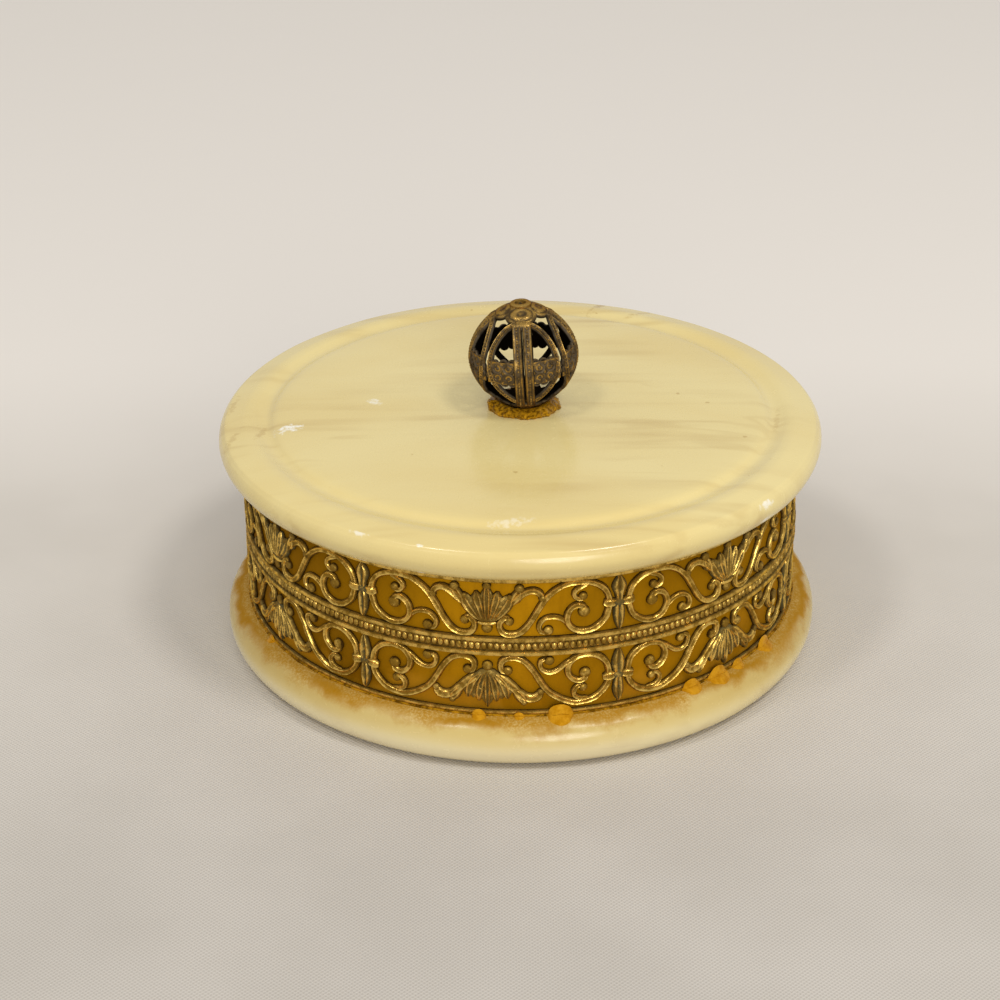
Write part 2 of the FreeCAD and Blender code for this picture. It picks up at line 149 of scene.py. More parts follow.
# Sections of the bosses from the rim to the middle: share of the half width, share of the height
DOME = [(1.0, 0.0), (0.96, 0.55), (0.78, 0.85), (0.42, 0.97), (0.0, 1.0)]
PETAL = [
    (1.0, 0.0), (1.0, 0.62), (0.92, 0.84), (0.8, 0.84), (0.72, 0.7), (0.62, 0.86), (0.5, 0.98), (0.38, 0.94),
    (0.28, 0.74), (0.16, 0.76), (0.0, 0.86),
]
RINGLET = [
    (1.0, 0.0), (1.0, 0.7), (0.84, 1.0), (0.62, 0.9), (0.5, 0.5), (0.3, 0.5), (0.2, 0.85), (0.0, 0.95),
]
PAD = [(1.0, 0.0), (0.94, 0.4), (0.8, 0.72), (0.6, 0.9), (0.35, 0.98), (0.0, 1.0)]

# Bars of half a repeat: width, height, dirt, section and the points that they run through
STRIP_BARS = [
    (1.5, 0.85, 0.08, GROOVED_BAR, [
        (4.5, 6.1), (3.7, 6.6), (2.6, 5.3), (2.7, 3.8), (3.6, 2.9), (5.0, 2.7), (6.3, 3.0), (7.5, 3.9),
        (8.6, 5.3), (9.6, 7.0), (10.6, 8.8), (11.6, 10.4), (13.0, 12.0), (14.7, 13.2), (16.3, 13.9),
        (18.0, 14.1), (20.0, 14.0), (21.5, 13.6), (23.0, 12.8), (24.2, 11.6), (24.8, 10.2), (25.1, 8.6),
        (24.8, 7.0), (24.2, 5.3), (23.0, 4.0), (21.5, 3.1), (19.7, 2.8), (18.0, 3.2), (16.8, 4.2),
        (16.2, 5.6), (16.4, 7.2), (17.2, 8.4), (18.4, 8.9), (19.5, 8.5), (19.9, 7.6)]),
    (1.25, 0.78, 0.12, GROOVED_BAR, [
        (20.5, 13.5), (18.8, 12.9), (17.7, 11.9), (17.8, 10.8), (18.8, 10.2), (19.7, 10.5)]),
    (1.2, 0.74, 0.08, GROOVED_BAR, [
        (16.4, 4.7), (15.4, 5.8), (14.3, 6.4), (13.0, 6.6), (11.7, 6.3), (10.8, 5.4), (10.5, 4.3),
        (10.9, 3.3), (11.9, 2.9)]),
    (1.7, 0.9, 0.15, GROOVED_BAR, [
        (4.6, 9.6), (5.6, 10.5), (7.0, 11.8), (8.8, 12.7), (10.3, 12.4), (11.3, 11.1)]),
    (1.5, 0.85, 0.08, GROOVED_BAR, [
        (4.2, -5.9), (3.1, -5.7), (2.7, -4.7), (2.95, -3.5), (4.0, -2.75), (5.5, -2.6), (7.0, -3.1),
        (8.3, -4.3), (9.5, -6.0), (10.5, -7.8), (11.6, -9.6), (12.8, -11.0), (14.5, -12.2), (16.0, -13.0),
        (17.5, -13.5), (19.0, -13.6), (21.0, -13.3), (22.6, -12.6), (24.0, -11.3), (24.9, -9.8),
        (25.1, -8.0), (24.9, -6.3), (24.3, -4.8), (23.0, -3.5), (21.5, -2.8), (19.8, -2.6), (18.2, -3.0),
        (17.0, -4.0), (16.4, -5.5), (16.6, -7.0), (17.5, -8.1), (18.8, -8.6), (19.9, -8.1), (20.2, -7.1)]),
    (1.25, 0.78, 0.12, GROOVED_BAR, [
        (20.6, -12.9), (19.0, -12.8), (17.8, -12.0), (17.7, -10.8), (18.5, -9.8), (19.5, -9.7)]),
    (1.2, 0.74, 0.1, GROOVED_BAR, [
        (17.5, -3.4), (16.0, -4.3), (15.0, -5.2), (13.8, -6.0), (12.4, -6.2), (11.2, -5.6), (10.7, -4.5),
        (10.9, -3.4), (12.0, -2.9)]),
    (2.2, 0.9, 0.25, GROOVED_BAR, [
        (2.2, -6.9), (4.0, -8.4), (5.2, -9.5), (6.2, -10.6), (7.2, -11.5), (8.6, -12.1), (10.0, -11.9),
        (10.9, -10.8)]),
]

# Ends of the scrolls: place, radius and dirt
STRIP_BALLS = [
    (4.5, 5.7, 1.0, 0.05), (19.7, 7.3, 1.3, 0.05), (19.5, 10.8, 0.95, 0.1), (12.4, 3.5, 1.1, 0.05),
    (6.6, 13.1, 1.05, 0.2), (4.7, 11.3, 0.7, 0.3), (11.2, 10.9, 0.85, 0.2),
    (4.1, -5.7, 1.05, 0.05), (20.0, -6.9, 1.25, 0.05), (19.6, -10.3, 0.95, 0.1), (12.6, -3.5, 1.05, 0.05),
    (10.8, -10.7, 0.8, 0.3), (7.4, -13.1, 0.7, 0.3),
]

# Leaves of half a palmette: height, dirt, and points with the width at each
STRIP_LEAVES = [
    (1.02, 0.8, [(0.6, 6.0, 0.8), (1.3, 8.4, 1.5), (1.9, 10.6, 2.0), (2.25, 12.4, 1.0)]),
    (0.97, 0.75, [(1.5, 6.0, 0.9), (3.1, 7.8, 1.7), (4.3, 9.6, 2.0), (4.8, 11.2, 1.0)]),
    (0.95, 0.6, [(5.0, 9.8, 1.4), (6.0, 11.3, 2.3), (6.6, 13.0, 1.4)]),
    (1.02, 0.9, [(0.5, -6.2, 0.8), (1.3, -8.6, 1.7), (1.7, -10.8, 1.8), (1.8, -12.9, 0.7)]),
    (0.97, 0.8, [(1.4, -6.4, 0.9), (3.0, -8.3, 1.8), (3.8, -10.4, 1.9), (4.1, -12.2, 0.8)]),
    (0.9, 0.6, [(5.6, -10.2, 1.6), (6.9, -11.9, 2.2), (7.6, -13.2, 1.1)]),
]
STRIP_EYES = [(1.1, -9.4, 0.8, 0.9)]

# What stands once in a repeat: balls and leaves on the palmette's axis, then those on the tied leaf's axis
AXIS_BALLS = [(0.0, 4.1, 1.15, 0.05), (0.0, 13.7, 0.95, 0.15), (0.0, -4.6, 1.15, 0.05)]
AXIS_LEAVES = [
    (1.08, 0.8, [(0.0, 5.9, 0.9), (0.0, 8.6, 1.4), (0.0, 11.3, 1.7), (0.0, 13.8, 1.1)]),
    (1.08, 0.9, [(0.0, -5.8, 1.0), (0.0, -8.6, 1.5), (0.0, -11.4, 1.5), (0.0, -14.2, 0.5)]),
]
AXIS_BARS = [
    (0.95, 0.95, 0.2, ROUND_BAR, [(-1.9, 5.35), (0.0, 5.15), (1.9, 5.35)]),
]
TIE_LEAVES = [
    (1.05, 0.8, [(0.0, 8.6, 1.6), (0.0, 10.0, 1.7), (0.0, 12.2, 2.9), (0.0, 14.5, 0.8)]),
    (1.05, 0.9, [(0.0, 8.2, 1.7), (0.0, 6.6, 2.3), (0.0, 4.6, 2.1), (0.0, 2.2, 0.8)]),
    (1.05, 0.9, [(0.0, -8.6, 1.6), (0.0, -10.2, 1.9), (0.0, -12.2, 2.2), (0.0, -14.6, 0.7)]),
    (1.05, 0.8, [(0.0, -8.2, 1.7), (0.0, -6.4, 2.6), (0.0, -4.6, 2.4), (0.0, -2.1, 0.8)]),
]
TIE_BARS = [
    (2.3, 1.12, 0.25, GROOVED_BAR, [(-3.3, 8.7), (-2.1, 8.5), (-0.6, 8.4)]),
    (2.3, 1.12, 0.25, GROOVED_BAR, [(0.6, 8.4), (2.1, 8.5), (3.3, 8.7)]),
    (2.3, 1.12, 0.25, GROOVED_BAR, [(-3.3, -8.6), (-2.1, -8.4), (-0.6, -8.3)]),
    (2.3, 1.12, 0.25, GROOVED_BAR, [(0.6, -8.3), (2.1, -8.4), (3.3, -8.6)]),
]
TIE_BALLS = [(0.0, 8.4, 1.3, 1.0), (0.0, -8.3, 1.3, 0.9)]

# Right halves of the palmettes' plates, from the axis round to the axis
PALMETTE_PLATES = [
    (0.72, 0.5, [
        (0.0, 5.4), (1.5, 5.5), (2.8, 6.5), (4.0, 7.7), (4.9, 9.0), (5.3, 10.3), (4.9, 11.3), (4.0, 11.7),
        (3.3, 11.1), (2.7, 12.0), (1.9, 12.4), (1.3, 11.8), (0.8, 12.8), (0.0, 13.1)]),
    (0.72, 0.6, [
        (0.0, -5.2), (1.4, -5.4), (2.8, -6.5), (4.2, -7.9), (5.2, -9.2), (5.2, -10.5), (4.5, -11.7),
        (3.9, -11.2), (3.1, -12.3), (2.5, -11.7), (1.9, -12.8), (1.3, -12.2), (0.7, -13.3), (0.0, -13.9)]),
]

# Rails of the strip: lowest and highest edge, height and dirt
STRIP_RAILS = [
    (14.4, 15.7, 0.9, 0.3), (1.0, 2.15, 1.0, 0.25), (-2.15, -1.0, 1.0, 0.25), (-15.75, -14.95, 0.8, 0.3),
]
BEAD_BED = (-1.1, 1.1, 0.35, 0.3)
RAIL_SHINE = 0.84
BED_SHINE = 0.5

# The openwork ball, one unit of four. A place is millimetres from the unit's middle and degrees up from the
# equator; the lace has degrees for both. Heights are shares of the wall
KNOB_UNITS = 4
UPPER_FLATTENING = 0.05
LOWER_FLATTENING = 0.03
FLATTENING_POWER = 1.2
BAR_DIRT = 0.6
RIB_OFFSET = 1.17
RIB_WIDTH = 1.85
RIB_TOP = 60.0
RIB_STEPS = 48
UPPER_ARC = [(1.9, 55.5), (3.5, 49.5), (5.0, 40.5), (6.1, 31.5), (6.9, 22.5), (7.3, 11.7), (7.4, 0.0)]
LOWER_ARC = [(1.9, 42.0), (3.0, 37.0), (4.6, 27.5), (5.95, 18.5), (6.9, 9.3), (7.4, 0.0)]
ARC_WIDTH = 1.15
ARC_HEIGHT = 0.97
ARC_STEP = 0.2
DEGREES_PER_MM = 6.0
PETAL_PLACE = 70.5
PETAL_HALVES = (3.4, 2.6)
PETAL_SEGMENTS = 26
PETAL_HEIGHT = 1.12
PETAL_DIRT = 0.2
PETAL_SHINE = 1.12
SHOULDER_PLACE = 55.5
SHOULDER_REACH = 2.25
SHOULDER_WIDTH = 2.4
SHOULDER_HEIGHT = 1.02
SHOULDER_STEPS = 12
RINGLETS = [
    (17.0, 5.8, 1.4), (29.5, 5.4, 1.35), (39.0, 3.6, 1.0), (22.5, 11.0, 1.0), (33.5, 10.1, 0.9),
    (13.5, 11.8, 0.85),
]
RINGLET_SEGMENTS = 14
RINGLET_HEIGHT = 0.85
RINGLET_DIRT = 0.5
LACE_SHINE = 0.72
LACE_SPAN = (11.0, 43.0)
LACE_PLACE = 2.4
LACE_WIDTH = 0.88
LACE_HEIGHT = 0.45
LACE_DIRT = 0.8
LACE_STEPS = 12
KNOB_BEAD_PITCH = 0.62
KNOB_BEAD_HEIGHT = 0.82
KNOB_BEAD_SHINE = 0.85
KNOB_BEAD = 0.28
ARC_BEAD = 0.26
RING_TURNS = 40
RING_RELIEF = 1.3
RING_SECTION = [(0.0, 0.05), (0.2, 0.16), (0.75, 0.14), (1.05, -0.1)]
RING_FOOT = 0.2

# The cement collar: how far its top lies under the solid's, its side, out from its radius and up from the
# lid, its shoulder, up from its top, and the depths at which it meets the ball. Then the size and rate of
# its lumps, which grow from a radius outwards, and the lobe that climbs the ball on the left
COLLAR_SINK = 0.5
COLLAR_TURNS = 180
COLLAR_SIDE = [(-0.2, 0.0), (0.0, 0.3), (-0.4, 0.75), (-1.0, 1.2)]
COLLAR_SHOULDER = [(-1.6, -0.3), (-2.1, -0.1)]
COLLAR_DEPTHS = (0.2, 0.5, 0.9)
COLLAR_OVERLAP = 0.1
LUMPS_OUT = ((0.7, 2.0), (0.4, 5.5), (0.35, 13.0))
LUMPS_UP = ((0.5, 3.0), (0.45, 9.0))
LUMP_SHRINK = 0.3
LUMP_SAG = 0.25
LUMP_BEGIN = 5.4
LUMP_BLEND = 2.4
LOBE_ANGLE = math.radians(-75)
LOBE_RISE = 1.6
LOBE_WIDTH = 0.35

# The cement bed: its broken edge, in and down, how far it stands out, and its lumps
BED_EDGE = (0.3, 0.1)
BED_PAST = 0.05
BED_LUMP = 0.3
BED_LUMP_RATE = 14

# Cement drops at the foot of the strip: angle from the front and share of the full drop
DROPS = [
    (-62.0, 0.45), (-8.7, 0.58), (-1.0, 0.4), (7.0, 1.0), (35.0, 0.8), (42.0, 0.95), (48.0, 0.6),
    (57.5, 0.85), (128.0, 0.7), (196.0, 0.6), (251.0, 0.65),
]
DROP_SEGMENTS = 28
DROP_BLEND = 0.7
DROP_FILL = 0.7
DROP_ROUGHNESS = 0.3
DROP_ROUGH_RATE = 0.7
DROP_SINK = 0.03

# White and brown marks on the lid: place, turn in degrees, half length, half width and strength
# The last three white marks are painted highlights: glints along the front edge of the lid
LID_SCRATCHES_AND_GLINTS = [
    (-49.4, -9.7, 28.0, 3.6, 1.9, 0.95), (-31.4, 2.7, -15.0, 2.1, 1.7, 0.6),
    (-2.5, -52.8, 5.0, 5.0, 1.3, 0.35), (-32.4, -54.8, -30.6, 2.7, 0.45, 0.6),
    (49.4, -41.4, 50.0, 2.6, 0.45, 0.7), (-20.0, -60.4, -18.3, 1.3, 0.4, 0.7),
]
LID_STAINS = [
    (19.5, 58.5, 62.0, 7.0, 1.1, 0.75), (29.0, 53.5, 35.0, 6.0, 1.0, 0.5),
    (-62.5, 4.5, 80.0, 5.5, 1.2, 0.4), (-61.5, -13.0, 70.0, 6.0, 1.0, 0.38),
    (-55.2, -9.8, 75.0, 5.0, 0.9, 0.4), (55.0, -5.0, 82.0, 7.0, 0.8, 0.3),
]

# How deep a mark on the lid goes, and where its edge begins and ends, as shares of its size
MARK_DEPTH = 100.0
MARK_EDGE = (1.1, 0.35)

# The polish of the stone, and where marks, painted light and painted shade begin and where they are full,
# in millimetres: on the base by radius, height and distance to the side, on the drum and the strip by X
# and height, on the cloth by Y
STONE_GLOSS = 0.5
STONE_IOR = 1.52
OUTSIDE_DRUM = (58.4, 59.4)
PALE_AND_BOUNCE_HEIGHTS = (8.5, 3.0)
PALE_AND_BOUNCE_SIDES = (10.0, 50.0)
WASH_HEIGHTS = (4.5, 8.5)
WASH_SIDES = (15.0, 60.0)
CEMENT_HEIGHTS = (5.0, 8.5)
GRIT_RADII = (64.6, 61.6)
GRIT_SIDES = (40.0, 62.0)
FOOT_SHADE_RADII = (62.6, 60.8)
RIM_INNER_RADII = (60.6, 62.0)
RIM_OUTER_RADII = (64.5, 62.2)
RIM_SIDES = (45.0, 62.0)
SHADE_LEFT = (5.0, -45.0)
SHADE_RIGHT = (0.0, 13.0)
LID_SHADOW_HEIGHTS = (BAND_MIDDLE - 4.0, BAND_MIDDLE + 6.0)
SMEAR_HEIGHTS = (DRUM_FOOT + 4.5, DRUM_FOOT + 1.0)
STRIP_END_SHADE = (28.0, 58.0)
CLOTH_PALER = (30.0, 150.0)
CLOTH_FRONT_SHADE = (-30.0, -110.0)
WEAVE_SEEN = (60.0, -60.0)

# The stage, in metres: how far the cloth reaches, each lamp's place, width and power, and the light of the
# room, which the camera sees brighter than it shines
CLOTH_REACH = 4.0
LAMPS = [
    ("lamp_right", (0.5, -0.5, 1.25), 0.3, 4.6),
    ("lamp_left", (-0.5, -0.5, 1.25), 0.25, 2.8),
    ("lamp_front", (0.3, -1.3, 0.5), 0.7, 6.5),
]
LAMP_AIM = (0.0, 0.0, 0.03)
LAMP_TINT = (1.0, 0.98, 0.95)
ROOM_TINT = (1.0, 0.985, 0.96)
ROOM_LIGHT = 0.62
ROOM_SEEN = 1.0

# Two threads of the cloth, in millimetres
WEAVE_PITCH = 1.0

# The camera fitted to the photo: lengths in millimetres, angles in radians
VIEW_TARGET = (-4.47, 0.0, 29.03)
VIEW_DISTANCE = 572.13
VIEW_ELEVATION = math.radians(27.01)
VIEW_ROLL = 0.0085
SENSOR = 36.0
LENS = 93.6
CLIP_START = 0.01


class TrinketBoxSizes(bpy.types.PropertyGroup):
    """Sizes of the dressed pieces."""

    def length(label, text, default):
        return bpy.props.FloatProperty(
            name=label, description=text, default=default * MM, unit="LENGTH", precision=5)

    stone_radius: length("Stone radius", "Radius of the base and the lid", 65.0)
    base_round: length("Base rounding", "Rounding of the base's edge", 5.1)
    boss_radius: length("Boss radius", "Radius of the floor inside the drum", 58.3)
    lid_rim: length("Lid rim height", "Height of the lid's rim over its seat", 8.6)
    spigot_radius: length("Spigot radius", "Radius of the lid's spigot", 57.9)
    panel_radius: length("Panel radius", "Radius of the raised middle of the lid", 53.5)
    sleeve_inner: length("Drum bore radius", "Inner radius of the drum", 58.5)
    sleeve_outer: length("Drum radius", "Outer radius of the drum", 59.3)
    strip_inner: length("Strip radius", "Radius of the strip's back", 59.35)
    strip_outer: length("Rail radius", "Radius of the strip's rails", 60.35)
    strip_reference: length("Pattern radius", "Radius at which the strip's pattern is measured", 60.4)
    strip_bead: length("Strip bead radius", "Radius of a bead in the middle row", 0.68)
    drop_width: length("Drop width", "Width of a full drop of cement", 5.5)
    drop_length: length("Drop length", "Length of a full drop from the strip down over the stone", 5.2)
    drop_depth: length("Drop depth", "Thickness of a full drop of cement", 0.75)
    knob_radius: length("Knob radius", "Radius of the openwork ball", 11.8)
    knob_wall: length("Knob wall", "Thickness of the ball's bars", 0.9)
    knob_bed: length("Knob bed", "Cement under the lowest point of the ball", 0.3)
    knob_hole: length("Knob hole radius", "Radius of the hole in the top of the ball", 1.2)
    knob_shift: length("Knob shift", "How far the glued ball sits to the right of the middle", 0.8)
    cement_radius: length("Collar radius", "Radius of the cement collar under the ball", 8.2)
    knob_lean: bpy.props.FloatProperty(
        name="Knob lean", description="Lean of the glued ball to one side", default=math.radians(-3.0),
        subtype="ANGLE")
    knob_tilt: bpy.props.FloatProperty(
        name="Knob tilt", description="Tilt of the glued ball to the back", default=math.radians(-1.0),
        subtype="ANGLE")


class TrinketBoxFinishes(bpy.types.PropertyGroup):
    """Colours of the dressed pieces, in linear light."""

    def colour(label, text, default):
        return bpy.props.FloatVectorProperty(
            name=label, description=text, default=default, size=3, min=0.0, max=1.0, subtype="COLOR")

    stone_pale: colour("Stone, pale", "Palest tone of the alabaster", (0.77, 0.64, 0.295))
    stone_warm: colour("Stone, warm", "Warmer clouds in the alabaster", (0.73, 0.58, 0.24))
    stone_streak: colour("Stone streaks", "Brownish grey streaks and veins", (0.46, 0.30, 0.09))
    stone_ochre: colour("Stone, ochre", "Ochre tone of the base, most at its ends", (0.53, 0.38, 0.11))
    # Also the painted highlights on the lid's front edge, and in part the painted light low on the base's
    # edge
    stone_white_and_highlight: colour("Scratches", "White bruises on the lid", (0.93, 0.91, 0.82))
    stain_grit: colour("Gritty cement", "Rough old cement beside the strip", (0.44, 0.23, 0.022))
    # Also painted as shade on the stone next to the strip's foot
    stain_edge_and_foot_shade: colour("Stain", "Orange edge of the stain", (0.38, 0.18, 0.004))
    sheet_light: colour("Drum, light", "Lacquered sheet where it is clean", (0.57, 0.27, 0.005))
    # Also painted as the shade on the drum's left and under the lid
    sheet_tarnish_and_shade: colour("Drum, dark", "Lacquered sheet where it is tarnished", (0.25, 0.115, 0.002))
    # Also painted shade in the hollows at the foot of the scrolls
    gilt_dirt_and_shade: colour("Strip recess", "Dirt at the foot of the scrolls", (0.045, 0.02, 0.003))
    gilt_body: colour("Strip body", "Dulled gilding", (0.30, 0.168, 0.02))
    gilt_top: colour("Strip tops", "Gilding on the raised edges", (0.84, 0.55, 0.13))
    # Also painted as shade over the strip's left and right ends
    gilt_grime_and_shade: colour("Strip grime", "Grey-green dirt in the ornament", (0.075, 0.066, 0.03))
    bronze_recess: colour("Knob recess", "Dark patina of the knob", (0.006, 0.004, 0.002))
    bronze_body: colour("Knob body", "Brown patina of the knob", (0.085, 0.055, 0.023))
    bronze_top: colour("Knob tops", "Worn gold on the raised edges of the knob", (0.40, 0.245, 0.065))
    bronze_grey: colour("Knob grey", "Grey patina of the knob", (0.115, 0.098, 0.075))
    cement_light: colour("Cement, light", "Thin amber cement", (0.54, 0.26, 0.012))
    cement_dark: colour("Cement, dark", "Thick amber cement", (0.42, 0.18, 0.003))
    collar_light: colour("Collar, light", "Clear cement under the knob", (0.46, 0.225, 0.008))
    collar_dark: colour("Collar, dark", "Dirty cement under the knob", (0.10, 0.042, 0.001))
    cloth_near: colour("Cloth", "Table cloth under the box", (0.62, 0.58, 0.525))
    cloth_far: colour("Backdrop", "Paler cloth behind the box", (0.80, 0.755, 0.70))
    cloth_shade: colour("Cloth weave", "Shade between the threads", (0.36, 0.33, 0.29))


class Shape:
    """Points, faces and finish values of a piece while it is drawn, in millimetres."""

    def __init__(self):
        self.points = []
        self.faces = []
        self.relief = []
        self.grime = []
        self.bead = []

    def add(self, points, faces, relief, grime=0.0):
        start = len(self.points)
        self.points += points
        self.faces += [[start + corner for corner in face] for face in faces]
        self.relief += relief
        self.grime += [grime] * len(points)
        self.bead += [0.0] * len(points)

    def add_bead_place(self, point, radius):
        """A loose point that the nodes put a bead of that radius on."""
        self.points.append(point)
        self.relief.append(1.0)
        self.grime.append(0.0)
        self.bead.append(radius)

    def object(self, name):
        mesh = bpy.data.meshes.new(name)
        mesh.from_pydata([point * MM for point in self.points], [], self.faces)
        for label in ("relief", "grime", "bead"):
            layer = mesh.attributes.new(label, "FLOAT", "POINT")
            layer.data.foreach_set("value", getattr(self, label))
        turn_outwards(mesh)
        piece = bpy.data.objects.new(name, mesh)
        bpy.context.scene.collection.objects.link(piece)
        return piece


def turn_outwards(mesh):
    """Points the faces of every closed shell outwards, and shades them smooth up to a sharp edge."""
    work = bmesh.new()
    work.from_mesh(mesh)
    bmesh.ops.recalc_face_normals(work, faces=work.faces)
    work.to_mesh(mesh)
    work.free()
    mesh.shade_smooth()
    mesh.set_sharp_from_angle(angle=SHARP_ANGLE)


def dress(piece, body, slot, *nodes):
    """Hands a finished piece to the frame: parents it to its body and hides the solids that it stands for.
    slot, its finish, is not used.
    """
    if not piece.data.polygons:
        raise RuntimeError(f"{piece.name} came out empty")
    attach(piece, body)
    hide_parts(*nodes)


def arc_points(across, up, radius, begin, end, steps=ROUND_STEPS):
    """Points of an arc about (across, up), between two angles in degrees, both ends included."""
    angles = [math.radians(begin + (end - begin) * step / steps) for step in range(steps + 1)]
    return [(across + radius * math.cos(angle), up + radius * math.sin(angle)) for angle in angles]


def smooth(points, step):
    """Points at about that step along a smooth curve through the given vectors of any size."""
    line = [Vector(point) for point in points]
    line = [2 * line[0] - line[1]] + line + [2 * line[-1] - line[-2]]
    curve = []
    for before, begin, end, after in zip(line, line[1:], line[2:], line[3:]):
        count = max(1, round((end - begin).length / step))
        for index in range(count):
            t = index / count
            curve.append(0.5 * (2 * begin + (end - before) * t
                                + (2 * before - 5 * begin + 4 * end - after) * t ** 2
                                + (3 * begin - before - 3 * end + after) * t ** 3))
    curve.append(line[-2])
    return curve


def quads(low, high, size):
    """Faces between two rings of that many points, which begin at low and at high."""
    return [(low + turn, low + (turn + 1) % size, high + (turn + 1) % size, high + turn)
            for turn in range(size)]


def fan(ring, size, pole):
    """Faces between a ring and a pole."""
    return [(ring + turn, ring + (turn + 1) % size, pole) for turn in range(size)]


def lathe(shape, outline, wobble=None, turns=TURNS, relief=1.0):
    """Turns an outline of radii and heights about Z. Ends on the axis close to poles, others join up."""
    poled = outline[0][0] == 0
    rings = outline[1:-1] if poled else outline
    points = []
    for radius, height in rings:
        for turn in range(turns):
            angle = 2 * math.pi * turn / turns
            out, up = wobble(radius, height, angle) if wobble else (0.0, 0.0)
            across = radius + out
            points.append(Vector((across * math.sin(angle), -across * math.cos(angle), height + up)))
    faces = []
    for ring in range(len(rings) - 1 if poled else len(rings)):
        faces += quads(ring * turns, (ring + 1) % len(rings) * turns, turns)
    if poled:
        for (_, height), ring in ((outline[0], 0), (outline[-1], (len(rings) - 1) * turns)):
            points.append(Vector((0, 0, height)))
            faces += fan(ring, turns, len(points) - 1)
    shape.add(points, faces, [relief] * len(points))


def flat_face(height):
    """Outline of a flat round face, from its pole out."""
    return [(0, height)] + [(ring, height) for ring in FLAT_RINGS]


def sweep(shape, path, widths, heights, section, ups=None, grime=0.0, blunt=False, shine=1.0):
    """A closed bar along a path. Its section stands on the surface whose normals are ups."""
    count = len(path)
    points = []
    relief = []
    for index, place in enumerate(path):
        along = (path[min(index + 1, count - 1)] - path[max(index - 1, 0)]).normalized()
        up = ups[index] if ups else Vector((0, 0, 1))
        side = along.cross(up).normalized()
        end = min(index, count - 1 - index)
        taper = 1.0 if blunt or count < 4 else END_TAPER[min(end, 2)]
        for across, rise in section:
            aside = side * (across * widths[index] / 2 * taper)
            points.append(place + aside + up * (rise * heights[index] * taper))
            relief.append(shine * rise ** RELIEF_POWER)
    size = len(section)
    faces = [tuple(range(size)), tuple(range((count - 1) * size, count * size))]
    for index in range(count - 1):
        faces += quads(index * size, (index + 1) * size, size)
    shape.add(points, faces, relief, grime)


def boss(shape, place, section, segments, halves, height, grime=0.0, shine=1.0):
    """A closed round boss of rings. place gives the point that far across, along and out."""
    points = []
    relief = []
    rings = section[:-1]
    for share, rise in rings:
        for turn in range(segments):
            angle = 2 * math.pi * turn / segments
            across = share * halves[0] * math.cos(angle)
            along = share * halves[1] * math.sin(angle)
            points.append(place(across, along, rise * height))
            relief.append(shine * rise ** RELIEF_POWER)
    crown = section[-1][1]
    points += [place(0.0, 0.0, 0.0), place(0.0, 0.0, crown * height)]
    relief += [0.0, shine * crown ** RELIEF_POWER]
    faces = fan(0, segments, len(points) - 2)
    for ring in range(len(rings) - 1):
        faces += quads(ring * segments, (ring + 1) * segments, segments)
    faces += fan((len(rings) - 1) * segments, segments, len(points) - 1)
    shape.add(points, faces, relief, grime)


def plate(shape, outline, height, grime):
    """A low plate with a bevelled edge over a closed flat outline."""
    middle = sum((Vector(point) for point in outline), Vector((0.0, 0.0))) / len(outline)
    points = []
    relief = []
    for share, rise in PLATE_STEPS:
        for point in outline:
            spot_at = middle + (Vector(point) - middle) * share
            points.append(Vector((spot_at.x, spot_at.y, rise * height)))
            relief.append(rise * PLATE_RELIEF)
    size = len(outline)
    faces = [tuple(range(size)), tuple(range(len(points) - size, len(points)))]
    for ring in range(len(PLATE_STEPS) - 1):
        faces += quads(ring * size, (ring + 1) * size, size)
    shape.add(points, faces, relief, grime)


# Node helpers


def put(tree, socket, value):
    if isinstance(value, bpy.types.NodeSocket):
        tree.links.new(value, socket)
    else:
        socket.default_value = value


def add_node(tree, kind, inputs=None, **settings):
    node = tree.nodes.new(kind)
    for name, value in settings.items():
        setattr(node, name, value)
    for key, value in (inputs or {}).items():
        put(tree, node.inputs[key], value)
    return node


def out_of(tree, kind, inputs=None, **settings):
    """The first output of a new node."""
    return add_node(tree, kind, inputs, **settings).outputs[0]


def calc(tree, operation, *values):
    return out_of(tree, "ShaderNodeMath", dict(enumerate(values)), operation=operation)


def times(tree, product, *values):
    """The product of several values."""
    for value in values:
        product = calc(tree, "MULTIPLY", product, value)
    return product


def calc_vector(tree, operation, *values):
    node = add_node(tree, "ShaderNodeVectorMath", dict(enumerate(values)), operation=operation)
    return node.outputs["Value" if operation == "LENGTH" else "Vector"]


def axes_of(tree, place):
    return add_node(tree, "ShaderNodeSeparateXYZ", {0: place}).outputs


def vector_of(tree, **axes):
    return out_of(tree, "ShaderNodeCombineXYZ", axes)


def ramp(tree, value, low, high, out_low=0.0, out_high=1.0):
    """Maps low to high smoothly onto out_low to out_high."""
    sizes = {0: value, 1: low, 2: high, 3: out_low, 4: out_high}
    return out_of(tree, "ShaderNodeMapRange", sizes, interpolation_type="SMOOTHSTEP")


def mix(tree, share, first, second):
    node = add_node(tree, "ShaderNodeMix", {0: share}, data_type="RGBA")
    for socket, value in ((node.inputs[6], first), (node.inputs[7], second)):
        put(tree, socket, value if isinstance(value, bpy.types.NodeSocket) else (*value, 1.0))
    return node.outputs[2]


def grain(tree, place, scale, detail=4.0, roughness=0.55, distortion=0.0):
    sizes = {
        "Vector": place, "Scale": scale, "Detail": detail, "Roughness": roughness, "Distortion": distortion,
    }
    return out_of(tree, "ShaderNodeTexNoise", sizes)


def stretch(tree, place, shares, turn=0.0):
    sizes = {"Vector": place, "Scale": shares, "Rotation": (0.0, 0.0, turn)}
    return out_of(tree, "ShaderNodeMapping", sizes, vector_type="POINT")


def attribute(tree, name):
    return add_node(tree, "ShaderNodeAttribute", attribute_name=name).outputs["Fac"]


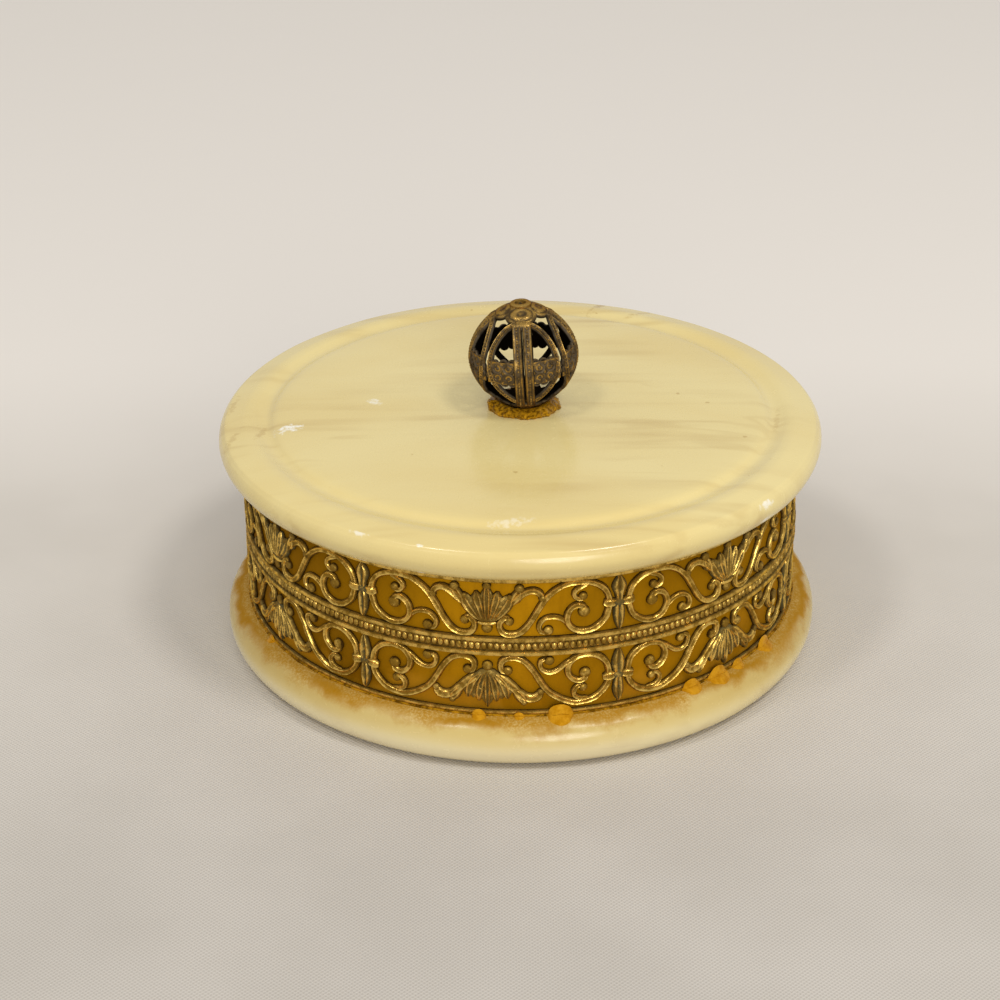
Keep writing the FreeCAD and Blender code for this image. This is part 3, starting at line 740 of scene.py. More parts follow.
def new_material(name):
    """A material with one principled shader, and its place in millimetres."""
    material = bpy.data.materials.new(name)
    material.use_nodes = True
    tree = material.node_tree
    shader = tree.nodes["Principled BSDF"]
    place = add_node(tree, "ShaderNodeTexCoord").outputs["Object"]
    place = calc_vector(tree, "MULTIPLY", place, (1 / MM, 1 / MM, 1 / MM))
    return material, tree, shader, place


def paint(tree, shader, values):
    for name, value in values.items():
        put(tree, shader.inputs[name], value)


def set_bump(tree, shader, height, strength, distance):
    sizes = {"Height": height, "Strength": strength, "Distance": distance * MM}
    put(tree, shader.inputs["Normal"], out_of(tree, "ShaderNodeBump", sizes))


def spot(tree, place, mark, wander):
    """A mask of one elongated mark with a ragged edge: place, turn, half length, half width and strength."""
    across, along, turn, half_length, half_width, strength = mark
    sizes = {
        "Vector": place, "Location": (across, along, 0.0), "Rotation": (0.0, 0.0, math.radians(turn)),
        "Scale": (half_length, half_width, MARK_DEPTH),
    }
    local = out_of(tree, "ShaderNodeMapping", sizes, vector_type="TEXTURE")
    away = calc(tree, "ADD", calc_vector(tree, "LENGTH", local), wander)
    return ramp(tree, away, *MARK_EDGE, 0.0, strength)


# Finishes


def alabaster(name, finishes, marks):
    """Polished cream stone with soft streaks. marks adds a piece's own marks, and its gloss."""
    material, tree, shader, place = new_material(name)
    cloud = grain(tree, stretch(tree, place, (0.5, 1.0, 1.0), 0.05), 0.03, 3.0, 0.5, 0.4)
    colour = mix(tree, ramp(tree, cloud, 0.35, 0.7), finishes.stone_pale, finishes.stone_warm)
    streaks = grain(tree, stretch(tree, place, (0.1, 1.0, 1.0), 0.04), 0.2, 3.0, 0.45, 0.3)
    bands = grain(tree, place, 0.02, 2.0)
    vein = grain(tree, stretch(tree, place, (0.2, 1.0, 1.0), 0.12), 0.03, 4.0, 0.5, 0.6)
    thread = calc(tree, "ABSOLUTE", calc(tree, "SUBTRACT", vein, 0.5))
    specks = grain(tree, place, 0.42, 1.0, 0.4)
    for share in (
            times(tree, ramp(tree, streaks, 0.44, 0.76, 0.0, 0.45), ramp(tree, bands, 0.36, 0.6)),
            times(tree, ramp(tree, thread, 0.012, 0.0, 0.0, 0.16), ramp(tree, bands, 0.44, 0.58)),
            ramp(tree, specks, 0.795, 0.83, 0.0, 0.55)):
        colour = mix(tree, share, colour, finishes.stone_streak)
    polish = grain(tree, place, 0.5, 5.0, 0.6)
    roughness = ramp(tree, polish, 0.3, 0.75, 0.16, 0.3)
    colour, roughness, gloss = marks(tree, place, finishes, colour, roughness)
    paint(tree, shader, {
        "Base Color": colour, "Roughness": roughness, "Specular IOR Level": gloss, "IOR": STONE_IOR})
    set_bump(tree, shader, grain(tree, place, 0.8, 5.0, 0.6), 0.1, 0.05)
    return material


def lid_marks(tree, place, finishes, colour, roughness):
    """White bruises and painted highlights along the front edge, brown veins across the rim, and dark lines
    along the groove.
    """
    wander = ramp(tree, grain(tree, place, 0.9, 4.0, 0.6), 0.25, 0.75, -0.45, 0.45)
    for mark in LID_STAINS:
        colour = mix(tree, spot(tree, place, mark, wander), colour, finishes.stone_streak)
    for mark in LID_SCRATCHES_AND_GLINTS:
        colour = mix(tree, spot(tree, place, mark, wander), colour, finishes.stone_white_and_highlight)
    return colour, roughness, STONE_GLOSS


def base_marks(tree, place, finishes, colour, roughness):
    """The pale edge, partly painted light, the ochre wash above it, the gritty ring of old cement with its
    stain, and painted shade at the strip's foot.
    """
    across = calc_vector(tree, "LENGTH", calc_vector(tree, "MULTIPLY", place, (1.0, 1.0, 0.0)))
    axes = axes_of(tree, place)
    aside = calc(tree, "ABSOLUTE", axes["X"])
    outside = ramp(tree, across, *OUTSIDE_DRUM)
    # Partly the stone's whiter edge, partly painted light: paler low down, and less on the right, where the
    # edge lies in shade
    pale = times(tree, ramp(tree, axes["Z"], *PALE_AND_BOUNCE_HEIGHTS, 0.0, 0.3), outside,
                 ramp(tree, axes["X"], *PALE_AND_BOUNCE_SIDES, 1.0, 0.4))
    colour = mix(tree, pale, colour, finishes.stone_white_and_highlight)
    wash = times(tree, ramp(tree, aside, *WASH_SIDES, 0.64, 1.0), outside,
                 ramp(tree, axes["Z"], *WASH_HEIGHTS, 0.12, 1.0))
    colour = mix(tree, wash, colour, finishes.stone_ochre)
    wander = ramp(tree, grain(tree, place, 0.13, 5.0, 0.6), 0.25, 0.75, -1.1, 1.1)
    radius = calc(tree, "ADD", across, wander)
    radius = calc(tree, "SUBTRACT", radius, ramp(tree, aside, *GRIT_SIDES, 0.0, 0.4))
    grit = grain(tree, place, 2.2, 5.0, 0.75)
    upper = times(tree, ramp(tree, axes["Z"], *CEMENT_HEIGHTS), outside)
    ring = times(tree, ramp(tree, radius, *GRIT_RADII), upper)
    tone = mix(tree, ramp(tree, grit, 0.42, 0.66), finishes.stain_grit, finishes.stone_warm)
    colour = mix(tree, times(tree, ring, 0.92), colour, tone)
    # Painted shade: the stone darkens next to the strip's foot, which shades it
    foot = times(tree, ramp(tree, radius, *FOOT_SHADE_RADII, 0.0, 0.5), upper)
    colour = mix(tree, foot, colour, finishes.stain_edge_and_foot_shade)
    patches = ramp(tree, grain(tree, place, 0.07, 3.0), 0.38, 0.6, 0.25, 1.0)
    patches = calc(tree, "MAXIMUM", patches, ramp(tree, aside, *RIM_SIDES))
    rim = times(tree, ramp(tree, radius, *RIM_INNER_RADII), ramp(tree, radius, *RIM_OUTER_RADII),
                patches, upper, ramp(tree, grit, 0.3, 0.6, 0.65, 1.0))
    colour = mix(tree, rim, colour, finishes.stain_edge_and_foot_shade)
    dull = calc(tree, "MAXIMUM", ring, rim)
    roughness = calc(tree, "MAXIMUM", roughness, times(tree, dull, 0.75))
    clean = calc(tree, "SUBTRACT", 1.0, times(tree, dull, 0.9))
    return colour, roughness, times(tree, clean, STONE_GLOSS)


def amber_sheet(finishes):
    """Lacquered sheet brass: satin, amber, clouded where it has tarnished, with painted shade to the left
    and under the lid.
    """
    material, tree, shader, place = new_material("amber_sheet")
    axes = axes_of(tree, place)
    cloud = grain(tree, place, 0.06, 4.0, 0.55, 0.5)
    fine = grain(tree, stretch(tree, place, (1.0, 1.0, 0.25)), 0.7, 4.0)
    # Painted shade: darker to the left, where less light falls, and on the right, most towards the lid,
    # which shades it
    upper = ramp(tree, axes["Z"], *LID_SHADOW_HEIGHTS, 0.5, 1.0)
    right = times(tree, ramp(tree, axes["X"], *SHADE_RIGHT, 0.0, 0.75), upper)
    painted_shade = calc(tree, "MAXIMUM", ramp(tree, axes["X"], *SHADE_LEFT, 0.0, 0.95), right)
    colour = finishes.sheet_light
    for share in (ramp(tree, cloud, 0.35, 0.68, 0.0, 0.4), ramp(tree, fine, 0.5, 0.75, 0.0, 0.2), painted_shade):
        colour = mix(tree, share, colour, finishes.sheet_tarnish_and_shade)
    smear = calc(tree, "ADD", axes["Z"], ramp(tree, cloud, 0.3, 0.7, -4.0, 3.0))
    smear = ramp(tree, smear, *SMEAR_HEIGHTS, 0.0, 0.9)
    paint(tree, shader, {
        "Base Color": mix(tree, smear, colour, finishes.cement_light),
        "Metallic": 0.45,
        "Specular IOR Level": 0.1,
        "Specular Tint": (*finishes.sheet_light, 1.0),
        "Roughness": ramp(tree, fine, 0.25, 0.75, 0.58, 0.7),
    })
    set_bump(tree, shader, fine, 0.15, 0.05)
    return material


def worn_metal(name, tones, grime_and_shade_tone, metallic, shine, worn, mottle):
    """Stamped metal: dirt, patina and painted shade in the recesses, worn bright on what stands out. tones
    go from recess to top.
    """
    material, tree, shader, place = new_material(name)
    blotch = grain(tree, place, 0.55, 4.0, 0.6)
    fine = grain(tree, place, 3.2, 4.0, 0.65)
    shift = calc(tree, "ADD", ramp(tree, blotch, 0.25, 0.75, -mottle, mottle),
                 ramp(tree, fine, 0.25, 0.75, -0.1, 0.1))
    relief = attribute(tree, "relief")
    raised = ramp(tree, relief, 0.02, 0.4)
    height = calc(tree, "ADD", relief, times(tree, shift, raised))
    recess, body, top = tones
    # Dark at the foot of every bar and boss: dirt and patina, and painted shade in the hollows
    colour = mix(tree, ramp(tree, height, 0.12, 0.52), recess, body)
    colour = mix(tree, ramp(tree, height, *worn), colour, top)
    # Painted shade: the grime tone spreads over the strip's left and right ends, which lie in shade
    end_shade = ramp(tree, calc(tree, "ABSOLUTE", axes_of(tree, place)["X"]), *STRIP_END_SHADE, 0.0, 0.45)
    dirt = calc(tree, "ADD", attribute(tree, "grime"), end_shade)
    dirt = times(tree, dirt, ramp(tree, blotch, 0.36, 0.6, 0.35, 1.3),
                 times(tree, raised, ramp(tree, height, 1.04, 0.54)))
    dirt = calc(tree, "MINIMUM", dirt, 1.0)
    clean = calc(tree, "SUBTRACT", 1.0, times(tree, dirt, 0.75))
    rough = calc(tree, "ADD", ramp(tree, height, 0.1, 0.95, 0.72, shine),
                 ramp(tree, fine, 0.3, 0.8, -0.04, 0.12))
    paint(tree, shader, {
        "Base Color": mix(tree, dirt, colour, grime_and_shade_tone),
        "Specular Tint": (*top, 1.0),
        "Specular IOR Level": ramp(tree, height, 0.1, 0.6, 0.0, 0.4),
        "Metallic": times(tree, ramp(tree, height, 0.1, 0.6, 0.0, metallic), clean),
        "Roughness": calc(tree, "ADD", rough, times(tree, dirt, 0.22)),
    })
    set_bump(tree, shader, fine, 0.5, 0.1)
    return material


def worn_gilt(finishes):
    tones = (finishes.gilt_dirt_and_shade, finishes.gilt_body, finishes.gilt_top)
    return worn_metal(
        "worn_gilt", tones, finishes.gilt_grime_and_shade, metallic=0.92, shine=0.16, worn=(0.52, 1.0), mottle=0.3)


def dark_bronze(finishes):
    tones = (finishes.bronze_recess, finishes.bronze_body, finishes.bronze_top)
    return worn_metal(
        "dark_bronze", tones, finishes.bronze_grey, metallic=0.8, shine=0.27, worn=(0.66, 1.06), mottle=0.24)


def amber_cement(name, light, dark, roughness, lumps, scale=0.7):
    """Hard amber resin with cloudy and dirty parts. scale sets how fine they are."""
    material, tree, shader, place = new_material(name)
    cloud = grain(tree, place, scale, 5.0, 0.65)
    paint(tree, shader, {
        "Base Color": mix(tree, ramp(tree, cloud, 0.38, 0.64), light, dark),
        "Roughness": ramp(tree, cloud, 0.3, 0.7, roughness, roughness + 0.18),
        "Specular IOR Level": 0.45,
        "Specular Tint": (*light, 1.0),
    })
    set_bump(tree, shader, grain(tree, place, 1.8, 5.0, 0.6), lumps, 0.25)
    return material


def pale_cloth(finishes):
    """Plain pale cloth with a fine weave, paler behind the box, with painted shade over its front."""
    material, tree, shader, place = new_material("pale_cloth")
    axes = axes_of(tree, place)
    colour = mix(tree, ramp(tree, axes["Y"], *CLOTH_PALER), finishes.cloth_near, finishes.cloth_far)
    # Painted shade: the cloth darkens towards the front, taking back some of the front lamp's light
    colour = mix(tree, ramp(tree, axes["Y"], *CLOTH_FRONT_SHADE, 0.0, 0.34), colour, finishes.cloth_shade)
    soft = grain(tree, place, 0.02, 3.0)
    colour = mix(tree, ramp(tree, soft, 0.3, 0.7, 0.0, 0.18), colour, finishes.cloth_far)
    threads = [calc(tree, "SINE", times(tree, axes[axis], 2 * math.pi / WEAVE_PITCH)) for axis in "XY"]
    weave = times(tree, *threads, ramp(tree, axes["Y"], *WEAVE_SEEN))
    colour = mix(tree, ramp(tree, weave, 0.0, 0.7, 0.0, 0.32), colour, finishes.cloth_shade)
    paint(tree, shader, {"Base Color": colour, "Roughness": 0.95, "Specular IOR Level": 0.1})
    set_bump(tree, shader, calc(tree, "ADD", weave, times(tree, soft, 6.0)), 0.4, 0.12)
    return material


# Geometry node trees


def new_tree(name, sizes):
    """A tree with a geometry socket on both sides and the named inputs, with its input and output node."""
    tree = bpy.data.node_groups.new(name, "GeometryNodeTree")
    for side in ("INPUT", "OUTPUT"):
        tree.interface.new_socket(name="Geometry", in_out=side, socket_type="NodeSocketGeometry")
    for label, kind in sizes.items():
        tree.interface.new_socket(name=label, in_out="INPUT", socket_type=f"NodeSocket{kind}")
    return tree, tree.nodes.new("NodeGroupInput").outputs, tree.nodes.new("NodeGroupOutput").inputs


def run_tree(piece, tree, sizes):
    """Runs a tree on the piece, and leaves its result as the piece's plain mesh."""
    modifier = piece.modifiers.new(tree.name, "NODES")
    modifier.node_group = tree
    for item in tree.interface.items_tree:
        if item.name in sizes:
            modifier[item.identifier] = sizes[item.name]
    depsgraph = bpy.context.evaluated_depsgraph_get()
    evaluated = piece.evaluated_get(depsgraph)
    mesh = bpy.data.meshes.new_from_object(evaluated, preserve_all_data_layers=True, depsgraph=depsgraph)
    piece.modifiers.remove(modifier)
    piece.data = mesh


def value_on(tree, geometry, name, value):
    """Stores a named number on every point of a geometry."""
    node = add_node(tree, "GeometryNodeStoreNamedAttribute", {"Geometry": geometry, "Name": name},
                    data_type="FLOAT", domain="POINT")
    put(tree, node.inputs["Value"], value)
    return node.outputs["Geometry"]


def joined(tree, *parts):
    """Several geometries as one."""
    node = add_node(tree, "GeometryNodeJoinGeometry")
    for part in parts:
        tree.links.new(part, node.inputs[0])
    return node.outputs[0]


def wrap(tree, geometry, sizes, material):
    """Bends the flat strip round the drum, makes its instances real and gives it its finish."""
    real = out_of(tree, "GeometryNodeRealizeInstances", {"Geometry": geometry})
    axes = axes_of(tree, out_of(tree, "GeometryNodeInputPosition"))
    angle = calc(tree, "ADD", calc(tree, "DIVIDE", axes["X"], sizes["Pattern radius"]), sizes["Turn"])
    radius = calc(tree, "ADD", axes["Z"], sizes["Back radius"])
    bent = vector_of(
        tree,
        X=times(tree, radius, calc(tree, "SINE", angle)),
        Y=times(tree, radius, times(tree, calc(tree, "COSINE", angle), -1.0)),
        Z=calc(tree, "ADD", axes["Y"], sizes["Mid height"]))
    moved = out_of(tree, "GeometryNodeSetPosition", {"Geometry": real, "Position": bent})
    return out_of(tree, "GeometryNodeSetMaterial", {"Geometry": moved, "Material": material})


WRAP_SIZES = {"Pattern radius": "Float", "Turn": "Float", "Back radius": "Float", "Mid height": "Float"}


def row_of(tree, count, pitch, instance):
    """Instances on a row along X, centred on the origin."""
    reach = times(tree, calc(tree, "SUBTRACT", count, 1.0), pitch)
    start = vector_of(tree, X=times(tree, reach, -0.5))
    step = vector_of(tree, X=pitch)
    line = out_of(tree, "GeometryNodeMeshLine", {"Count": count, "Start Location": start, "Offset": step})
    return out_of(tree, "GeometryNodeInstanceOnPoints", {"Points": line, "Instance": instance})


def scroll_tree(material):
    """Repeats the flat motif along the strip and wraps it."""
    tree, sizes, result = new_tree("scroll_strip", {
        "Repeats": "Int", "Repeat length": "Float", **WRAP_SIZES})
    row = row_of(tree, sizes["Repeats"], sizes["Repeat length"], sizes["Geometry"])
    put(tree, result["Geometry"], wrap(tree, row, sizes, material))
    return tree


def rail_tree(material):
    """Sets the row of beads between the flat middle rails and wraps them."""
    tree, sizes, result = new_tree("beaded_rails", {
        "Beads": "Int", "Bead pitch": "Float", "Bead radius": "Float", "Bead height": "Float", **WRAP_SIZES})
    ball = out_of(tree, "GeometryNodeMeshIcoSphere", {"Radius": sizes["Bead radius"], "Subdivisions": 2})
    ball = out_of(tree, "GeometryNodeTransform", {"Geometry": ball, "Scale": BEAD_SHAPE})
    ball = value_on(tree, value_on(tree, ball, "relief", BEAD_SHINE), "grime", BEAD_DIRT)
    ball = out_of(tree, "GeometryNodeSetShadeSmooth", {"Geometry": ball})
    row = row_of(tree, sizes["Beads"], sizes["Bead pitch"], ball)
    lift = vector_of(tree, Z=sizes["Bead height"])
    row = out_of(tree, "GeometryNodeTransform", {"Geometry": row, "Translation": lift})
    put(tree, result["Geometry"], wrap(tree, joined(tree, sizes["Geometry"], row), sizes, material))
    return tree


def ball_tree(material):
    """Puts beads on the loose points of one unit of the ball, repeats the unit and leans the ball."""
    tree, sizes, result = new_tree("openwork_ball", {
        "Units": "Int", "Tilt": "Float", "Lean": "Float", "Shift": "Float", "Centre height": "Float"})
    radius = out_of(tree, "GeometryNodeInputNamedAttribute", {"Name": "bead"}, data_type="FLOAT")
    loose = calc(tree, "GREATER_THAN", radius, 0.0)
    parts = add_node(tree, "GeometryNodeSeparateGeometry", {
        "Geometry": sizes["Geometry"], "Selection": loose}, domain="POINT").outputs
    ball = out_of(tree, "GeometryNodeMeshIcoSphere", {"Radius": MM, "Subdivisions": 1})
    ball = value_on(tree, ball, "relief", KNOB_BEAD_SHINE)
    ball = out_of(tree, "GeometryNodeSetShadeSmooth", {"Geometry": ball})
    beads = out_of(tree, "GeometryNodeInstanceOnPoints", {
        "Points": parts["Selection"], "Instance": ball, "Scale": radius})
    beads = out_of(tree, "GeometryNodeRealizeInstances", {"Geometry": beads})
    unit = joined(tree, parts["Inverted"], beads)
    spread = out_of(tree, "GeometryNodeMeshLine", {"Count": sizes["Units"], "Offset": (0.0, 0.0, 0.0)})
    step = calc(tree, "DIVIDE", 2 * math.pi, sizes["Units"])
    turn = vector_of(tree, Z=times(tree, out_of(tree, "GeometryNodeInputIndex"), step))
    units = out_of(tree, "GeometryNodeInstanceOnPoints", {
        "Points": spread, "Instance": unit, "Rotation": turn})
    real = out_of(tree, "GeometryNodeRealizeInstances", {"Geometry": units})
    lean = vector_of(tree, X=sizes["Tilt"], Y=sizes["Lean"])
    lift = vector_of(tree, X=sizes["Shift"], Z=sizes["Centre height"])
    leaning = out_of(tree, "GeometryNodeTransform", {
        "Geometry": real, "Translation": lift, "Rotation": lean})
    done = out_of(tree, "GeometryNodeSetMaterial", {"Geometry": leaning, "Material": material})
    put(tree, result["Geometry"], done)
    return tree


# The flat drawing of the strip


def flat_place(across, along):
    return lambda x, y, out: Vector((across + x, along + y, out))


def draw_bars(shape, bars, shift=0.0, side=1):
    for width, height, grime, section, line in bars:
        path = smooth([(shift + side * x, y, 0.0) for x, y in line], STRIP_STEP)
        uneven = [1 + UNEVEN * noise.noise(place * UNEVEN_RATE + Vector((0, 0, SEED))) for place in path]
        widths = [width * share for share in uneven]
        heights = [height * share for share in uneven]
        sweep(shape, path, widths, heights, section, grime=grime)


def draw_balls(shape, balls, shift=0.0, side=1):
    for x, y, radius, grime in balls:
        place = flat_place(shift + side * x, y)
        boss(shape, place, DOME, BALL_SEGMENTS, (radius, radius), BALL_HEIGHT, grime, BALL_SHINE)


def draw_leaves(shape, leaves, shift=0.0, side=1):
    for height, grime, line in leaves:
        curve = smooth([(shift + side * x, y, width) for x, y, width in line], STRIP_STEP)
        path = [Vector((x, y, 0.0)) for x, y, _ in curve]
        widths = [LEAF_SPREAD * width for _, _, width in curve]
        sweep(shape, path, widths, [height] * len(path), LEAF_BAR, grime=grime)


def draw_motif():
    """One repeat of the scrollwork, from a palmette's axis to the tied leaf on each side."""
    shape = Shape()
    for side in (1, -1):
        draw_bars(shape, STRIP_BARS, side=side)
        draw_balls(shape, STRIP_BALLS, side=side)
        draw_leaves(shape, STRIP_LEAVES, side=side)
        for x, y, radius, grime in STRIP_EYES:
            place = flat_place(side * x, y)
            boss(shape, place, RINGLET, BALL_SEGMENTS, (radius, radius), BALL_HEIGHT, grime, EYE_SHINE)
    for height, grime, half in PALMETTE_PLATES:
        plate(shape, half + [(-x, y) for x, y in reversed(half[1:-1])], height, grime)
    draw_bars(shape, AXIS_BARS)
    draw_balls(shape, AXIS_BALLS)
    draw_leaves(shape, AXIS_LEAVES)
    draw_leaves(shape, TIE_LEAVES, HALF_REPEAT)
    draw_bars(shape, TIE_BARS, HALF_REPEAT)
    draw_balls(shape, TIE_BALLS, HALF_REPEAT)
    return shape


def draw_rails():
    """The straight rails and the bed of the bead row, open at the joint at the back."""
    shape = Shape()
    reach = STRIP_REPEATS * HALF_REPEAT - SEAM_GAP / 2
    count = round(2 * reach)
    for low, high, height, grime in STRIP_RAILS + [BEAD_BED]:
        section, shine = (RAIL_BAR, RAIL_SHINE) if height > BEAD_BED[2] else (FLAT_BAR, BED_SHINE)
        level = (low + high) / 2
        path = [Vector((reach * (2 * step / count - 1), level, 0.0)) for step in range(count + 1)]
        widths = [high - low] * len(path)
        sweep(shape, path, widths, [height] * len(path), section, grime=grime, blunt=True, shine=shine)
    return shape


# The drawing of the ball


def ball_share(direction):
    """The share of the ball's radius in a direction: the halves are a little flat between pole and rim."""
    flattening = UPPER_FLATTENING if direction.z > 0 else LOWER_FLATTENING
    slope = 2 * abs(direction.z) * math.sqrt(max(0.0, 1 - direction.z ** 2))
    return 1 - flattening * slope ** FLATTENING_POWER


def on_ball(x, latitude, radius):
    """The direction of the point of the ball that far to the right of a unit's middle, at that latitude."""
    up = math.sin(math.radians(latitude))
    across = x / radius
    return Vector((across, -math.sqrt(max(0.0, 1 - up ** 2 - across ** 2)), up)).normalized()


def ball_direction(azimuth, latitude):
    """The direction that many degrees round from a unit's middle and up from the equator."""
    turn = math.radians(azimuth)
    rise = math.radians(latitude)
    return Vector((math.cos(rise) * math.sin(turn), -math.cos(rise) * math.cos(turn), math.sin(rise)))


def ball_place(azimuth, latitude, inner, upper):
    """Places on the ball round a middle direction, for a boss: across, towards the pole, and out."""
    turn = math.radians(azimuth)
    middle = ball_direction(azimuth, latitude)
    right = Vector((math.cos(turn), math.sin(turn), 0.0))
    poleward = middle.cross(right) * -1 if middle.cross(right).z < 0 else middle.cross(right)

    def place(across, along, out):
        away = math.hypot(across, along)
        direction = middle
        if away > 0:
            tangent = (right * across + poleward * along) / away
            direction = middle * math.cos(away / inner) + tangent * math.sin(away / inner)
        return at_depth(direction, inner + out, upper)

    return place


def at_depth(direction, radius, upper):
    """The point in a direction of the upper half, on its shape or on the lower half's turned over."""
    share = ball_share(direction if upper else Vector((direction.x, direction.y, -direction.z)))
    return direction * (radius * share)


def bar_on_ball(shape, directions, width, inner, wall, section, bead, upper, blunt=False):
    """A bar over the ball along those directions, with a row of bead places where bead is a radius."""
    path = [at_depth(direction, inner, upper) for direction in directions]
    sweep(shape, path, [width] * len(path), [wall] * len(path), section, directions, BAR_DIRT, blunt)
    if not bead:
        return
    run = 0.0
    for begin, end in zip(directions, directions[1:]):
        run += (end - begin).length * inner
        if run >= KNOB_BEAD_PITCH:
            run -= KNOB_BEAD_PITCH
            shape.add_bead_place(at_depth(end, inner, upper) + end * (wall * KNOB_BEAD_HEIGHT), bead)


def draw_ball_unit(sizes, upper):
    """A quarter of one half of the ball: petal, shoulder, double rib, beaded arcs and lace."""
    shape = Shape()
    radius = sizes.knob_radius / MM
    wall = sizes.knob_wall / MM
    inner = radius - wall
    arc_line = UPPER_ARC if upper else LOWER_ARC
    for side in (1, -1):
        heights = [RIB_TOP * step / RIB_STEPS for step in range(RIB_STEPS + 1)]
        rib = [on_ball(side * RIB_OFFSET, latitude, radius) for latitude in heights]
        bar_on_ball(shape, rib, RIB_WIDTH, inner, wall, RIB_BAR, KNOB_BEAD, upper, blunt=True)
        line = [(side * x, latitude / DEGREES_PER_MM, 0.0) for x, latitude in reversed(arc_line)]
        arc = [on_ball(x, latitude * DEGREES_PER_MM, radius) for x, latitude, _ in smooth(line, ARC_STEP)]
        bar_on_ball(shape, arc, ARC_WIDTH, inner, wall * ARC_HEIGHT, RIB_BAR, ARC_BEAD, upper, blunt=True)
        for azimuth, latitude, size in RINGLETS:
            place = ball_place(side * azimuth, latitude, inner, upper)
            boss(shape, place, RINGLET, RINGLET_SEGMENTS, (size, size), wall * RINGLET_HEIGHT, RINGLET_DIRT,
                 LACE_SHINE)
        low, high = LACE_SPAN
        turns = [side * (low + (high - low) * step / LACE_STEPS) for step in range(LACE_STEPS + 1)]
        strip = [ball_direction(turn, LACE_PLACE) for turn in turns]
        path = [at_depth(direction, inner, upper) for direction in strip]
        section = LACE_BAR if side < 0 else [(-across, rise) for across, rise in reversed(LACE_BAR)]
        sweep(shape, path, [LACE_WIDTH] * len(path), [wall * LACE_HEIGHT] * len(path), section, strip,
              LACE_DIRT, blunt=True)
    steps = [2 * step / SHOULDER_STEPS - 1 for step in range(SHOULDER_STEPS + 1)]
    line = [on_ball(SHOULDER_REACH * step, SHOULDER_PLACE, radius) for step in steps]
    bar_on_ball(shape, line, SHOULDER_WIDTH, inner, wall * SHOULDER_HEIGHT, ROUND_BAR, 0.0, upper)
    place = ball_place(0.0, PETAL_PLACE, inner, upper)
    boss(shape, place, PETAL, PETAL_SEGMENTS, PETAL_HALVES, wall * PETAL_HEIGHT, PETAL_DIRT, PETAL_SHINE)
    if not upper:
        for point in shape.points:
            point.z = -point.z
    return shape


def draw_ball_ring(shape, sizes):
    """The ring round the hole in the top of the ball."""
    radius = sizes.knob_radius / MM
    hole = sizes.knob_hole / MM
    low = radius - sizes.knob_wall / MM
    outline = [(hole, low)] + [(hole + out, radius + up) for out, up in RING_SECTION]
    outline.append((outline[-1][0], low - RING_FOOT))
    lathe(shape, outline, turns=RING_TURNS, relief=RING_RELIEF)


# Operators


def stone_wobble(radius, height, angle):
    """The slight unevenness of turned and hand-polished stone."""
    spot_on = Vector((radius * math.sin(angle), -radius * math.cos(angle), height))
    fine = noise.noise(spot_on * FINE_RATE + Vector((SEED, 0, 0)))
    broad = noise.noise(spot_on * BROAD_RATE + Vector((0, SEED, 0)))
    share = min(1.0, radius / CALM_RADIUS)
    return share * (FINE_REACH * fine + BROAD_REACH * broad), share * FINE_RISE * fine


class TRINKETBOX_OT_base(bpy.types.Operator):
    """Turn the stone base."""

    bl_idname = "trinketbox.base"
    bl_label = "Stone base"

    def execute(self, context):
        sizes = context.scene.trinket_box_sizes
        radius = sizes.stone_radius / MM
        rounding = sizes.base_round / MM
        boss_radius = sizes.boss_radius / MM
        flat = radius - rounding
        outline = flat_face(0)
        outline += arc_points(flat, rounding, rounding, -90, 0)
        outline += arc_points(flat, BASE_TOP - rounding, rounding, 0, 90)
        outline += [(boss_radius, BASE_TOP), (boss_radius, FLOOR_TOP - BOSS_EDGE)]
        outline.append((boss_radius - BOSS_EDGE, FLOOR_TOP))
        outline += reversed(flat_face(FLOOR_TOP))
        shape = Shape()

        def level(radius_at, height, angle):
            if radius_at <= boss_radius:
                return 0.0, 0.0
            out, up = stone_wobble(radius_at, height, angle)
            return out, up if LEVEL_FOOT < height < BASE_TOP - LEVEL_TOP else 0.0

        lathe(shape, outline, level)
        piece = shape.object("stone_base")
        finishes = context.scene.trinket_box_finishes
        piece.data.materials.append(alabaster("alabaster_base", finishes, base_marks))
        dress(piece, "box", "alabaster", "base_disc")
        return {"FINISHED"}


class TRINKETBOX_OT_drum(bpy.types.Operator):
    """Roll the lacquered sheet drum."""

    bl_idname = "trinketbox.drum"
    bl_label = "Sheet drum"

    def execute(self, context):
        sizes = context.scene.trinket_box_sizes
        inner = sizes.sleeve_inner / MM
        outer = sizes.sleeve_outer / MM
        edge = DRUM_EDGE
        outline = [
            (inner + edge, DRUM_FOOT), (outer - edge, DRUM_FOOT),
            (outer, DRUM_FOOT + edge), (outer, LID_SEAT - edge),
            (outer - edge, LID_SEAT), (inner + edge, LID_SEAT),
            (inner, LID_SEAT - edge), (inner, DRUM_FOOT + edge),
        ]
        shape = Shape()
        lathe(shape, outline)
        piece = shape.object("sheet_drum")
        piece.data.materials.append(amber_sheet(context.scene.trinket_box_finishes))
        dress(piece, "box", "gilt_sheet", "wall_sleeve")
        return {"FINISHED"}


